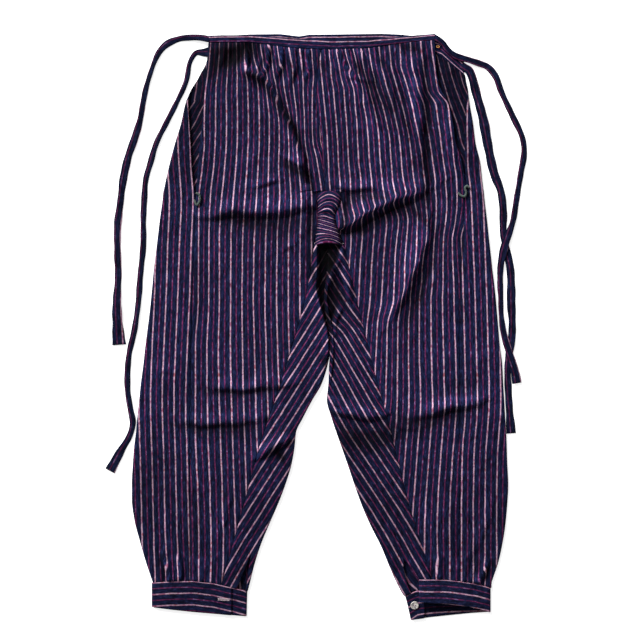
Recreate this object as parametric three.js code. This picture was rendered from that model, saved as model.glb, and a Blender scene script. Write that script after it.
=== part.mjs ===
// Monpe work trousers laid flat with the front up, in millimetres.
// +X is the wearer's left side as laid, +Y runs to the waist and +Z is up from the surface at z = 0.
import * as THREE from 'three';

// Middle of the outline, which becomes the origin.
const MIDDLE_X = 2;
const MIDDLE_Y = -0.37;

// Walls and gaps.
const CLOTH = 1.5; // woven cotton panels
const BAND = 2.2; // folded waistbands and cuffs
const TIE = 2; // stitched tie strips
const SEAM_GAP = 0.3; // clearance between neighbouring pieces
const LAYER_STEP = 5.2; // back layer to front layer, middle to middle
const LOWEST_DIP = -2.6; // the front layer never sinks further than this

// Levels of the middle of each wall.
const BACK_LEVEL = CLOTH / 2;
const FRONT_LEVEL = BACK_LEVEL + LAYER_STEP;
const FOLD_RADIUS = LAYER_STEP / 2;
const BAND_BACK_LEVEL = BAND / 2;
const BAND_FRONT_LEVEL = FRONT_LEVEL + (BAND - CLOTH) / 2;
const BUTTON_DIAMETER = 13;
const BUTTON_THICKNESS = 2.2;
const THREAD_RADIUS = 0.8; // thick cotton of the side tacks

// Rows of the grid down the garment: between two heights, in so many steps.
const ROW_ZONES = [
  { from: 439.5, to: 359.5, steps: 5 },
  { from: 359.5, to: 230, steps: 4 },
  { from: 230, to: 213.5, steps: 1 },
  { from: 213.5, to: 212, steps: 1 },
  { from: 212, to: 130, steps: 7 },
  { from: 130, to: -68, steps: 6 },
  { from: -68, to: -150, steps: 5 },
  { from: -150, to: -403.5, steps: 7 },
];
const WAIST_Y = 439.5;
const CROTCH_Y = 130;
const CUFF_Y = -403.5;
const STRIP_TOP_Y = 209.8;
const STRIP_ARCH = 1.5; // the strip's upper end bows up by this much
const STRIP_FOLD_Y = 133;
const STRIP_BACK_TOP_Y = 196;
const LIP_FROM_Y = 392; // above this height the back's side edge lies flat
const LIP_TO_Y = 345; // below it the back is folded over onto the front

// Half sections of the garment, waist to ankle. outer is the outline, hem the free edge of the back
// where it folds over, side the front's side edge or the outseam, middle the front's inner edge,
// back the back's inner edge, inner where the leg's inside turns down and under where it folds back
// below: at the crotch that is further in, so the legs' insides line the hollow between them.
const LEFT_SECTIONS = [
  { y: 439.5, outer: -168.5, hem: -165, side: -167.5, middle: 9.5, back: 8, inner: 9.5, under: 9.5 },
  { y: 416, outer: -173, hem: -169.5, side: -169.5, middle: 6.5, back: 8, inner: 6.5, under: 6.5 },
  { y: 395.5, outer: -183.5, hem: -180, side: -171.5, middle: 4, back: 8, inner: 4, under: 4 },
  { y: 372, outer: -195, hem: -191.5, side: -173, middle: 3.5, back: 8, inner: 3.5, under: 3.5 },
  { y: 351.5, outer: -203.5, hem: -199.5, side: -174.5, middle: 3, back: 8, inner: 3, under: 3 },
  { y: 320, outer: -210.5, hem: -198, side: -177.5, middle: 7, back: 8, inner: 7, under: 7 },
  { y: 288.5, outer: -220, hem: -196, side: -181, middle: 11, back: 8, inner: 11, under: 11 },
  { y: 246, outer: -231, hem: -193, side: -184, middle: 14, back: 8, inner: 14, under: 14 },
  { y: 230, outer: -234.5, hem: -192, side: -185.5, middle: 15.5, back: 8, inner: 15.5, under: 15.5 },
  { y: 213.5, outer: -238, hem: -190, side: -187, middle: 15.5, back: 7.3, inner: 15.5, under: 15.5 },
  { y: 212, outer: -238.5, hem: -189.5, side: -187, middle: 3, back: 7, inner: 3, under: 3 },
  { y: 200.5, outer: -239.5, hem: -187.5, side: -187.5, middle: 3, back: 5.5, inner: 3, under: 3 },
  { y: 172, outer: -243.5, hem: -188.5, side: -188.5, middle: 4.5, back: 3, inner: 4.5, under: 4.5 },
  { y: 130, outer: -248.5, hem: -189.5, side: -189.5, middle: -1, back: -1, inner: 3, under: 21.5 },
  { y: 89, outer: -253.5, hem: -191, side: -191, middle: -6.5, back: -6.5, inner: 3.5, under: 21 },
  { y: 62, outer: -256, hem: -192, side: -192, middle: -11.5, back: -11.5, inner: 2.5, under: 17.5 },
  { y: 41.5, outer: -258, hem: -192.5, side: -192.5, middle: -15.5, back: -15.5, inner: 6.5, under: 15.5 },
  { y: 18, outer: -260.5, hem: -193, side: -193, middle: -22, back: -22, inner: 13, under: 18 },
  { y: -5.5, outer: -263.5, hem: -193.5, side: -193.5, middle: -28.5, back: -28.5, inner: 20.5, under: 23.5 },
  { y: -29, outer: -266.5, hem: -194.5, side: -194.5, middle: -35.5, back: -35.5, inner: 23, under: 25 },
  { y: -60.5, outer: -270, hem: -195, side: -195, middle: -45, back: -45, inner: 19.5, under: 19.5 },
  { y: -90.5, outer: -274, hem: -195.5, side: -195.5, middle: -54, back: -54, inner: 10, under: 10 },
  { y: -115.5, outer: -276.5, hem: -196, side: -196, middle: -62.5, back: -62.5, inner: -4.5, under: -4.5 },
  { y: -144, outer: -279.5, hem: -196, side: -196, middle: -72.5, back: -72.5, inner: -19.5, under: -19.5 },
  { y: -166, outer: -281.5, hem: -196, side: -196, middle: -80, back: -80, inner: -30, under: -30 },
  { y: -189.5, outer: -284.5, hem: -196, side: -196, middle: -87.5, back: -87.5, inner: -32.5, under: -32.5 },
  { y: -218, outer: -286.5, hem: -196, side: -196, middle: -95.5, back: -95.5, inner: -37.5, under: -37.5 },
  { y: -244.5, outer: -288, hem: -196.5, side: -196.5, middle: -102.5, back: -102.5, inner: -45.5, under: -45.5 },
  { y: -273, outer: -288, hem: -196.5, side: -196.5, middle: -110, back: -110, inner: -56, under: -56 },
  { y: -304.5, outer: -284, hem: -196.5, side: -196.5, middle: -119, back: -119, inner: -69.5, under: -69.5 },
  { y: -337.5, outer: -275.5, hem: -196.5, side: -196.5, middle: -128, back: -128, inner: -83.5, under: -83.5 },
  { y: -370.5, outer: -266, hem: -196.5, side: -196.5, middle: -138, back: -138, inner: -96.5, under: -96.5 },
  { y: -403.5, outer: -255, hem: -196.5, side: -196.5, middle: -148, back: -148, inner: -101.5, under: -101.5 },
];
const RIGHT_SECTIONS = [
  { y: 439.5, outer: 198, hem: 194.5, side: 188, middle: 9.5, back: 8.5, inner: 9.5, under: 9.5 },
  { y: 416, outer: 220, hem: 216.5, side: 189.5, middle: 6.5, back: 8.5, inner: 6.5, under: 6.5 },
  { y: 395.5, outer: 231.5, hem: 228, side: 191, middle: 4, back: 8.5, inner: 4, under: 4 },
  { y: 372, outer: 238, hem: 234.5, side: 196.5, middle: 3.5, back: 8.5, inner: 3.5, under: 3.5 },
  { y: 351.5, outer: 243, hem: 238, side: 209, middle: 3, back: 8.5, inner: 3, under: 3 },
  { y: 320, outer: 248.5, hem: 237, side: 217, middle: 7, back: 8.5, inner: 7, under: 7 },
  { y: 288.5, outer: 252.5, hem: 235.5, side: 221.5, middle: 11, back: 8.5, inner: 11, under: 11 },
  { y: 257, outer: 260, hem: 236.5, side: 231.5, middle: 13, back: 8.5, inner: 13, under: 13 },
  { y: 230.5, outer: 263, hem: 237, side: 235.5, middle: 15.5, back: 8.5, inner: 15.5, under: 15.5 },
  { y: 213.5, outer: 265.2, hem: 237, side: 236.3, middle: 15.5, back: 9.7, inner: 15.5, under: 15.5 },
  { y: 212, outer: 265.5, hem: 237, side: 236.5, middle: 41, back: 10, inner: 41, under: 41 },
  { y: 200.5, outer: 266.5, hem: 236, side: 236, middle: 41.5, back: 12.5, inner: 41.5, under: 41.5 },
  { y: 172, outer: 270, hem: 235, side: 235, middle: 32.5, back: 23.5, inner: 32.5, under: 32.5 },
  { y: 130, outer: 274.5, hem: 233, side: 233, middle: 45, back: 45, inner: 41, under: 23 },
  { y: 108, outer: 277, hem: 231.5, side: 231.5, middle: 50, back: 50, inner: 38.5, under: 23.5 },
  { y: 89, outer: 279, hem: 231, side: 231, middle: 54.5, back: 54.5, inner: 26, under: 22.5 },
  { y: 70, outer: 281.5, hem: 230, side: 230, middle: 59, back: 59, inner: 19, under: 19.5 },
  { y: 41.5, outer: 284.5, hem: 228.5, side: 228.5, middle: 66, back: 66, inner: 16.5, under: 17 },
  { y: 18, outer: 286.5, hem: 228.5, side: 228.5, middle: 71.5, back: 71.5, inner: 20.5, under: 20 },
  { y: -5.5, outer: 288.5, hem: 228, side: 228, middle: 77.5, back: 77.5, inner: 25.5, under: 25 },
  { y: -29, outer: 290.5, hem: 228, side: 228, middle: 84, back: 84, inner: 27, under: 26.5 },
  { y: -60.5, outer: 294.5, hem: 228, side: 228, middle: 91, back: 91, inner: 25, under: 25 },
  { y: -90.5, outer: 296, hem: 228, side: 228, middle: 99, back: 99, inner: 21.5, under: 21.5 },
  { y: -115.5, outer: 297.5, hem: 228.5, side: 228.5, middle: 106, back: 106, inner: 19, under: 19 },
  { y: -142.5, outer: 299, hem: 228.5, side: 228.5, middle: 113.5, back: 113.5, inner: 26, under: 26 },
  { y: -174, outer: 301, hem: 228.5, side: 228.5, middle: 121.5, back: 121.5, inner: 36.5, under: 36.5 },
  { y: -218, outer: 302.5, hem: 229, side: 229, middle: 132.5, back: 132.5, inner: 52, under: 52 },
  { y: -249.5, outer: 304, hem: 229, side: 229, middle: 140.5, back: 140.5, inner: 62.5, under: 62.5 },
  { y: -277.5, outer: 302.5, hem: 229, side: 229, middle: 148, back: 148, inner: 72.5, under: 72.5 },
  { y: -315.5, outer: 299, hem: 229.5, side: 229.5, middle: 159, back: 159, inner: 89, under: 89 },
  { y: -337.5, outer: 295.5, hem: 229.5, side: 229.5, middle: 166, back: 166, inner: 100.5, under: 100.5 },
  { y: -370.5, outer: 288.5, hem: 229.5, side: 229.5, middle: 176, back: 176, inner: 116.5, under: 116.5 },
  { y: -403.5, outer: 277.5, hem: 229.5, side: 229.5, middle: 185, back: 185, inner: 133, under: 133 },
];

// Folds of the front layer: a ridge, or a trough where high is negative, along three points.
const FOLDS = [
  { name: 'left_hip_diagonal', x1: -93, y1: 403.5, x2: -47, y2: 332.5, x3: -19, y3: 254, wide: 9, high: 6 },
  { name: 'left_tuck', x1: -107, y1: 424, x2: -100.5, y2: 403.5, x3: -83.5, y3: 389.5, wide: 7, high: 5 },
  { name: 'left_crotch_drag', x1: -23.5, y1: 277.5, x2: -11, y2: 222.5, x3: -1.5, y3: 200.5, wide: 8, high: 4.5 },
  { name: 'left_thigh_tick', x1: -105.5, y1: 219.5, x2: -77, y2: 227.5, x3: -49, y3: 232, wide: 8, high: 2.5 },
  { name: 'left_thigh_cross', x1: -181, y1: 177, x2: -94.5, y2: 181.5, x3: -14, y3: 186.5, wide: 13, high: 5.5 },
  { name: 'left_knee_upper', x1: -192, y1: -90.5, x2: -110, y2: -96.5, x3: -33, y3: -89, wide: 11, high: 4.5 },
  { name: 'left_knee_lower', x1: -231, y1: -144, x2: -157.5, y2: -152, x3: -80, y3: -144, wide: 10, high: 3.5 },
  { name: 'left_inner_lap', x1: -91, y1: -205.5, x2: -67.5, y2: -189.5, x3: -47, y3: -181.5, wide: 8, high: 4.5 },
  { name: 'left_under_band', x1: -155.5, y1: 419, x2: -127.5, y2: 422.5, x3: -105.5, y3: 428.5, wide: 16, high: -2 },
  { name: 'left_gather_1', x1: -146.5, y1: 441, x2: -146.5, y2: 422.5, x3: -148, y3: 400.5, wide: 5.5, high: 1.8 },
  { name: 'left_gather_2', x1: -126, y1: 441, x2: -126, y2: 422.5, x3: -129, y3: 397, wide: 5.5, high: 1.8 },
  { name: 'left_gather_3', x1: -71, y1: 441, x2: -74, y2: 416, x3: -83.5, y3: 381.5, wide: 5.5, high: 2.4 },
  { name: 'left_gather_4', x1: -50.5, y1: 435, x2: -52, y2: 410, x3: -61.5, y3: 369, wide: 5.5, high: 2.2 },
  { name: 'left_gather_5', x1: -30, y1: 432, x2: -33, y2: 406.5, x3: -39.5, y3: 362.5, wide: 5.5, high: 2.2 },
  { name: 'left_gather_6', x1: -9.5, y1: 432, x2: -12.5, y2: 410, x3: -19, y3: 381.5, wide: 5.5, high: 2 },
  { name: 'right_tuck', x1: 39.5, y1: 425.5, x2: 58, y2: 391, x3: 80, y3: 351.5, wide: 8, high: 4.5 },
  { name: 'right_hip_fan_1', x1: 93, y1: 427, x2: 130.5, y2: 337.5, x3: 170, y3: 233.5, wide: 12, high: 4.5 },
  { name: 'right_hip_fan_2', x1: 58, y1: 422.5, x2: 89.5, y2: 340.5, x3: 115, y3: 254, wide: 11, high: 2.5 },
  { name: 'right_side_ridge', x1: 155.5, y1: 416, x2: 162, y2: 325, x3: 166.5, y3: 230.5, wide: 9, high: 4.5 },
  { name: 'right_side_valley', x1: 176, y1: 416, x2: 177.5, y2: 317, x3: 177.5, y3: 199, wide: 8, high: -2.5 },
  { name: 'right_pocket_ridge', x1: 206, y1: 343.5, x2: 214, y2: 281, x3: 223.5, y3: 224, wide: 8, high: 2.5 },
  { name: 'right_thigh_crease', x1: 47, y1: 159.5, x2: 111.5, y2: 191, x3: 192, y3: 225.5, wide: 14, high: 8 },
  { name: 'right_thigh_ridge', x1: 181, y1: 164.5, x2: 152.5, y2: 81, x3: 111.5, y3: 1, wide: 12, high: 6.5 },
  { name: 'right_thigh_valley', x1: 192, y1: 148.5, x2: 171.5, y2: 70, x3: 130.5, y3: -8.5, wide: 9, high: -2.4 },
  { name: 'right_knee_inner', x1: 30, y1: -136, x2: 71, y2: -142.5, x3: 119.5, y3: -142.5, wide: 11, high: 5.5 },
  { name: 'right_knee_outer', x1: 157.5, y1: -142.5, x2: 209, y2: -128, x3: 259.5, y3: -119, wide: 11, high: 5.5 },
  { name: 'right_gather_1', x1: 26.5, y1: 428.5, x2: 28.5, y2: 410, x3: 30, y3: 384.5, wide: 5.5, high: 2 },
  { name: 'right_gather_2', x1: 55, y1: 428.5, x2: 61.5, y2: 410, x3: 67.5, y3: 387.5, wide: 5.5, high: 2 },
  { name: 'right_gather_3', x1: 74, y1: 428.5, x2: 82, y2: 406.5, x3: 93, y3: 378.5, wide: 5.5, high: 2.2 },
  { name: 'right_gather_4', x1: 110, y1: 432, x2: 119.5, y2: 410, x3: 132, y3: 381.5, wide: 5.5, high: 2.2 },
  { name: 'right_gather_5', x1: 133.5, y1: 435, x2: 141.5, y2: 416, x3: 151, y3: 394, wide: 5.5, high: 2 },
  { name: 'left_cuff_gather_1', x1: -237.5, y1: -348.5, x2: -234.5, y2: -370.5, x3: -231, y3: -392.5, wide: 6, high: 2.2 },
  { name: 'left_cuff_gather_2', x1: -212.5, y1: -361, x2: -211, y2: -376.5, x3: -211, y3: -394, wide: 5.5, high: 1.8 },
  { name: 'left_cuff_gather_3', x1: -176, y1: -361, x2: -177.5, y2: -378.5, x3: -179.5, y3: -394, wide: 5.5, high: 1.8 },
  { name: 'right_cuff_gather_1', x1: 200, y1: -354.5, x2: 198, y2: -373.5, x3: 196.5, y3: -389.5, wide: 5.5, high: 1.8 },
  { name: 'right_cuff_gather_2', x1: 240.5, y1: -354.5, x2: 237.5, y2: -376.5, x3: 234.5, y3: -394, wide: 5.5, high: 2 },
  { name: 'right_cuff_gather_3', x1: 264.5, y1: -361, x2: 258, y2: -380, x3: 250, y3: -397, wide: 6, high: 2 },
];

// Waistbands from the left end: centre and half the width.
const FRONT_BAND = [
  { x: -166.5, y: 452, half: 4.8 },
  { x: -146.5, y: 452.5, half: 5 },
  { x: -102, y: 452.5, half: 5 },
  { x: -56.5, y: 448, half: 6.5 },
  { x: -26.5, y: 445, half: 7 },
  { x: 26.5, y: 443, half: 6.5 },
  { x: 85, y: 444.5, half: 6 },
  { x: 123.5, y: 449.5, half: 4.7 },
  { x: 157.5, y: 453, half: 4.2 },
  { x: 188.5, y: 455.5, half: 4.2 },
];
const BACK_BAND = [
  { x: -166.5, y: 432.5, half: 9 },
  { x: -146.5, y: 443, half: 9.8 },
  { x: -126, y: 448, half: 10.2 },
  { x: -102, y: 449.5, half: 10.2 },
  { x: -55, y: 450, half: 10.2 },
  { x: -25, y: 447, half: 9.5 },
  { x: -9.5, y: 449, half: 10.2 },
  { x: 36, y: 449.5, half: 10.2 },
  { x: 105.5, y: 450.5, half: 10.2 },
  { x: 133.5, y: 449.5, half: 10 },
  { x: 181, y: 444.5, half: 9.8 },
  { x: 200, y: 434, half: 9.8 },
  { x: 218.5, y: 420, half: 9.8 },
  { x: 234.5, y: 406.5, half: 9.6 },
];

// Ties from the waistband to the free end: centre, width and the level of the middle.
const TIE_FRONT_LEFT = [
  { x: -168, y: 452, wide: 9.5, high: 6.3 },
  { x: -181, y: 454.5, wide: 9.5, high: 4.6 },
  { x: -196.5, y: 455, wide: 9.5, high: 2.2 },
  { x: -214, y: 453, wide: 10, high: 1 },
  { x: -233, y: 445, wide: 11, high: 1 },
  { x: -244.5, y: 433.5, wide: 9.5, high: 1 },
  { x: -252, y: 419, wide: 8.5, high: 1 },
  { x: -265, y: 380, wide: 8.5, high: 1 },
  { x: -271, y: 351.5, wide: 9.5, high: 1 },
  { x: -275.5, y: 325.5, wide: 10, high: 1 },
  { x: -284.5, y: 295, wide: 12, high: 1 },
  { x: -294, y: 268, wide: 12.5, high: 1 },
  { x: -302, y: 232, wide: 12, high: 1 },
  { x: -306.5, y: 196, wide: 11, high: 1 },
  { x: -311, y: 158, wide: 12, high: 1 },
  { x: -311, y: 111, wide: 11, high: 1 },
  { x: -310, y: 84, wide: 11, high: 1 },
  { x: -312, y: 37, wide: 14, high: 1 },
  { x: -311, y: 2.5, wide: 18, high: 1 },
  { x: -308.5, y: -29, wide: 22, high: 1 },
];
const TIE_BACK_LEFT = [
  { x: -167.7, y: 432, wide: 15, high: 1 },
  { x: -176, y: 431.5, wide: 12.5, high: 1 },
  { x: -187, y: 431, wide: 8.5, high: 1 },
  { x: -196.5, y: 417.5, wide: 8, high: 1 },
  { x: -203, y: 386, wide: 8, high: 1 },
  { x: -218.5, y: 351.5, wide: 8.5, high: 1 },
  { x: -234.5, y: 320, wide: 8.5, high: 1 },
  { x: -250, y: 288.5, wide: 9.5, high: 1 },
  { x: -259.5, y: 257, wide: 9.5, high: 1 },
  { x: -266.5, y: 232, wide: 9.5, high: 1 },
  { x: -269, y: 200.5, wide: 9.5, high: 1 },
  { x: -270.5, y: 169, wide: 9.5, high: 1 },
  { x: -270.5, y: 130, wide: 9.5, high: 1 },
  { x: -275.5, y: 76.5, wide: 9.5, high: 1 },
  { x: -278.5, y: 37, wide: 9.5, high: 1 },
  { x: -284.5, y: -5.5, wide: 9.5, high: 1 },
  { x: -292.5, y: -41.5, wide: 9.5, high: 1 },
  { x: -295.5, y: -73, wide: 9.5, high: 1 },
  { x: -295, y: -103, wide: 9.5, high: 1 },
  { x: -290.5, y: -131.5, wide: 9.5, high: 1 },
  { x: -287, y: -152, wide: 9.5, high: 1 },
  { x: -292, y: -172, wide: 10, high: 1 },
  { x: -306, y: -196, wide: 12.5, high: 1 },
  { x: -323, y: -227.5, wide: 16.5, high: 1 },
];
const TIE_FRONT_RIGHT = [
  { x: 191, y: 455, wide: 9.5, high: 6.3 },
  { x: 195, y: 453, wide: 9.5, high: 6 },
  { x: 201, y: 445.5, wide: 9.5, high: 5 },
  { x: 207, y: 437.5, wide: 9.5, high: 4.2 },
  { x: 219.5, y: 427, wide: 9.5, high: 4 },
  { x: 245.5, y: 418.5, wide: 10, high: 3.6 },
  { x: 259.5, y: 414, wide: 11, high: 2 },
  { x: 272, y: 409, wide: 11, high: 1 },
  { x: 284.5, y: 394, wide: 10, high: 1 },
  { x: 292.5, y: 372, wide: 9.5, high: 1 },
  { x: 311.5, y: 331, wide: 9.5, high: 1 },
  { x: 326, y: 299.5, wide: 9.5, high: 1 },
  { x: 329.5, y: 276, wide: 9.5, high: 1 },
  { x: 324, y: 240, wide: 9.5, high: 1 },
  { x: 317.5, y: 200.5, wide: 9.5, high: 1 },
  { x: 312, y: 167.5, wide: 10, high: 3.5 },
  { x: 306, y: 148.5, wide: 11, high: 3.6 },
  { x: 298, y: 125, wide: 12, high: 3.6 },
  { x: 292.5, y: 98.5, wide: 11, high: 3.4 },
  { x: 291.5, y: 71.5, wide: 9.5, high: 1.6 },
  { x: 292.5, y: 48, wide: 8.5, high: 1 },
  { x: 293.5, y: 18, wide: 8.5, high: 1 },
  { x: 296.5, y: -7, wide: 9.5, high: 2.8 },
  { x: 302.5, y: -30.5, wide: 11, high: 3.6 },
  { x: 309.5, y: -52.5, wide: 12.5, high: 3.6 },
  { x: 314.5, y: -70, wide: 13.5, high: 3.5 },
  { x: 318, y: -89.5, wide: 14, high: 2.6 },
];
const TIE_BACK_RIGHT = [
  { x: 238.5, y: 406, wide: 14, high: 1 },
  { x: 242.5, y: 403.5, wide: 14, high: 1 },
  { x: 247, y: 394, wide: 14, high: 1 },
  { x: 254, y: 367.5, wide: 14, high: 1 },
  { x: 265, y: 325.5, wide: 15, high: 1 },
  { x: 272, y: 287, wide: 15, high: 1 },
  { x: 282, y: 241.5, wide: 13.5, high: 1 },
  { x: 292.5, y: 213, wide: 12.5, high: 1 },
  { x: 296.5, y: 181.5, wide: 12, high: 1 },
  { x: 296.5, y: 148.5, wide: 12, high: 1 },
  { x: 301.5, y: 120.5, wide: 12, high: 1 },
  { x: 307.5, y: 92, wide: 12.5, high: 1 },
  { x: 309, y: 63.5, wide: 13.5, high: 1 },
  { x: 309, y: 37, wide: 13.5, high: 1 },
  { x: 310.5, y: 8.5, wide: 12.5, high: 1 },
  { x: 310, y: -18, wide: 12, high: 1 },
  { x: 305.5, y: -43.5, wide: 12, high: 1 },
  { x: 303.5, y: -68.5, wide: 11, high: 1 },
  { x: 304.5, y: -100, wide: 11, high: 1 },
  { x: 306.5, y: -134.5, wide: 12.5, high: 1 },
  { x: 309, y: -168.5, wide: 15, high: 1 },
];

// Edges of the cuffs.
const CUFF_L_TOP = [
  { x: -255.5, y: -403.5 },
  { x: -225, y: -401.5 },
  { x: -192, y: -401 },
  { x: -160.5, y: -404.5 },
  { x: -131.5, y: -411 },
  { x: -107, y: -417.5 },
];
const CUFF_L_BOTTOM = [
  { x: -256.5, y: -441 },
  { x: -225, y: -445 },
  { x: -192, y: -448.5 },
  { x: -151, y: -452 },
  { x: -108.5, y: -455.5 },
];
const CUFF_R_FRONT_TOP = [
  { x: 163.5, y: -398.5 },
  { x: 204.5, y: -399 },
  { x: 228, y: -401.5 },
  { x: 251.5, y: -405 },
  { x: 276, y: -411.5 },
];
const CUFF_R_FRONT_BOTTOM = [
  { x: 163.5, y: -432 },
  { x: 204.5, y: -434.5 },
  { x: 240.5, y: -438.5 },
  { x: 259.5, y: -443.5 },
  { x: 274.5, y: -449 },
];
const CUFF_R_BACK_TOP = [
  { x: 143, y: -424 },
  { x: 159, y: -417 },
  { x: 181, y: -414.5 },
  { x: 229.5, y: -412 },
  { x: 276, y: -411.5 },
];
const CUFF_R_BACK_BOTTOM = [
  { x: 151, y: -461.5 },
  { x: 181, y: -457.5 },
  { x: 204.5, y: -455 },
  { x: 244, y: -451 },
  { x: 274.5, y: -449 },
];

// Thick thread tacks that close the side openings.
const TACK_LEFT = [
  { x: -187, y: 210 },
  { x: -182, y: 207 },
  { x: -181, y: 198 },
  { x: -186, y: 191 },
  { x: -189.5, y: 199 },
];
const TACK_RIGHT = [
  { x: 225, y: 210 },
  { x: 229, y: 206 },
  { x: 235, y: 204.5 },
  { x: 237.5, y: 211 },
  { x: 235.5, y: 217.5 },
  { x: 239, y: 221 },
  { x: 242.5, y: 218 },
];
const BUTTON_PLACE = { x: 156.6, y: -438.5 };

const clamp01 = (value) => Math.min(1, Math.max(0, value));
const smooth = (from, to, value) => {
  const t = clamp01((value - from) / (to - from));
  return t * t * (3 - 2 * t);
};
const mix = (a, b, t) => a + (b - a) * t;

// Reads a column of a table at a place along another column.
function lookUp(table, key, at, column) {
  const rising = table[table.length - 1][key] > table[0][key];
  const rows = rising ? table : [...table].reverse();
  if (at <= rows[0][key]) return rows[0][column];
  for (let i = 1; i < rows.length; i += 1) {
    if (at <= rows[i][key]) {
      const t = (at - rows[i - 1][key]) / (rows[i][key] - rows[i - 1][key]);
      return mix(rows[i - 1][column], rows[i][column], t);
    }
  }
  return rows[rows.length - 1][column];
}

// The two halves of the garment; sign points from the middle to the outer edge.
const LEFT_HALF = { sections: LEFT_SECTIONS, sign: -1 };
const RIGHT_HALF = { sections: RIGHT_SECTIONS, sign: 1 };
const section = (half, y, column) => lookUp(half.sections, 'y', y, column);

function distanceToSegment(x, y, ax, ay, bx, by) {
  const dx = bx - ax;
  const dy = by - ay;
  const t = clamp01(((x - ax) * dx + (y - ay) * dy) / (dx * dx + dy * dy));
  return Math.hypot(x - ax - t * dx, y - ay - t * dy);
}

// Height of the folds over the flat front layer.
function foldHeight(x, y) {
  let height = 0;
  for (const fold of FOLDS) {
    const first = distanceToSegment(x, y, fold.x1, fold.y1, fold.x2, fold.y2);
    const second = distanceToSegment(x, y, fold.x2, fold.y2, fold.x3, fold.y3);
    const away = Math.min(first, second) / fold.wide;
    if (away < 3) height += fold.high * Math.exp(-away * away);
  }
  return Math.max(height, LOWEST_DIP);
}

// Folds die out towards the folded edges of the cloth and at the bands.
function frontLevel(x, y) {
  const half = x < section(LEFT_HALF, y, 'inner') + 6 && x < 40 ? LEFT_HALF : RIGHT_HALF;
  const toOuter = Math.abs(section(half, y, 'outer') - x);
  let still = smooth(4, 30, toOuter);
  if (y < CROTCH_Y) still *= smooth(2, 20, Math.abs(section(half, y, 'inner') - x));
  const band = lookUp(FRONT_BAND, 'x', x, 'y') - lookUp(FRONT_BAND, 'x', x, 'half');
  still *= smooth(0, 9, band - y);
  still *= smooth(CUFF_Y - 4, CUFF_Y + 22, y);
  return FRONT_LEVEL + foldHeight(x, y) * still;
}

// A closed shell from a grid of points: each has a place and the unit direction to its outer side.
// keep tells which grid squares exist, so that a slit can be left out.
function shellGeometry(grid, wall, keep = () => true) {
  const rows = grid.length;
  const columns = grid[0].length;
  const positions = [];
  for (const side of [0.5, -0.5]) {
    for (const row of grid) {
      for (const p of row) {
        const out = wall * side;
        positions.push(p.x + p.nx * out, p.y + (p.ny ?? 0) * out, p.z + p.nz * out);
      }
    }
  }
  const top = (r, c) => r * columns + c;
  const under = (r, c) => rows * columns + r * columns + c;
  const kept = (r, c) => r >= 0 && c >= 0 && r < rows - 1 && c < columns - 1 && keep(r, c);
  const faces = [];
  const quad = (a, b, c, d) => faces.push(a, b, c, a, c, d);
  for (let r = 0; r < rows - 1; r += 1) {
    for (let c = 0; c < columns - 1; c += 1) {
      if (!kept(r, c)) continue;
      quad(top(r, c), top(r + 1, c), top(r + 1, c + 1), top(r, c + 1));
      quad(under(r, c), under(r, c + 1), under(r + 1, c + 1), under(r + 1, c));
      if (!kept(r - 1, c)) quad(top(r, c), top(r, c + 1), under(r, c + 1), under(r, c));
      if (!kept(r + 1, c)) quad(top(r + 1, c + 1), top(r + 1, c), under(r + 1, c), under(r + 1, c + 1));
      if (!kept(r, c - 1)) quad(top(r + 1, c), top(r, c), under(r, c), under(r + 1, c));
      if (!kept(r, c + 1)) quad(top(r, c + 1), top(r + 1, c + 1), under(r + 1, c + 1), under(r, c + 1));
    }
  }
  const geometry = new THREE.BufferGeometry();
  geometry.setAttribute('position', new THREE.Float32BufferAttribute(positions, 3));
  geometry.setIndex(faces);
  const volume = signedVolume(positions, faces);
  if (volume < 0) {
    for (let i = 0; i < faces.length; i += 3) [faces[i], faces[i + 1]] = [faces[i + 1], faces[i]];
    geometry.setIndex(faces);
  }
  geometry.computeVertexNormals();
  return geometry;
}

function signedVolume(positions, faces) {
  const point = (i) => new THREE.Vector3().fromArray(positions, i * 3);
  let volume = 0;
  for (let i = 0; i < faces.length; i += 3) {
    volume += point(faces[i]).dot(point(faces[i + 1]).cross(point(faces[i + 2])));
  }
  return volume / 6;
}

const rowHeights = () => {
  const heights = [ROW_ZONES[0].from];
  for (const zone of ROW_ZONES) {
    for (let i = 1; i <= zone.steps; i += 1) heights.push(mix(zone.from, zone.to, i / zone.steps));
  }
  return heights;
};
const ROWS = rowHeights();

// The waist edge and the cuff edge of each layer, as heights over x.
const frontWaist = (x) => lookUp(FRONT_BAND, 'x', x, 'y') - lookUp(FRONT_BAND, 'x', x, 'half') - 2 * SEAM_GAP;
const backWaist = (x) => lookUp(BACK_BAND, 'x', x, 'y') - lookUp(BACK_BAND, 'x', x, 'half') - 3 * SEAM_GAP;
const frontCuff = (x) => lookUp(x < 0 ? CUFF_L_TOP : CUFF_R_FRONT_TOP, 'x', x, 'y') + SEAM_GAP * 1.5;
const backCuff = (x) => lookUp(x < 0 ? CUFF_L_TOP : CUFF_R_BACK_TOP, 'x', x, 'y') + SEAM_GAP * 1.5;

// Bends the grid rows next to the waist and the cuff to those edges.
function bentHeight(x, y, waistEdge, cuffEdge) {
  const up = smooth(WAIST_Y - 110, WAIST_Y, y);
  const down = 1 - smooth(CUFF_Y, CUFF_Y + 70, y);
  return y + (waistEdge(x) - WAIST_Y) * up + (cuffEdge(x) - CUFF_Y) * down;
}

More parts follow.
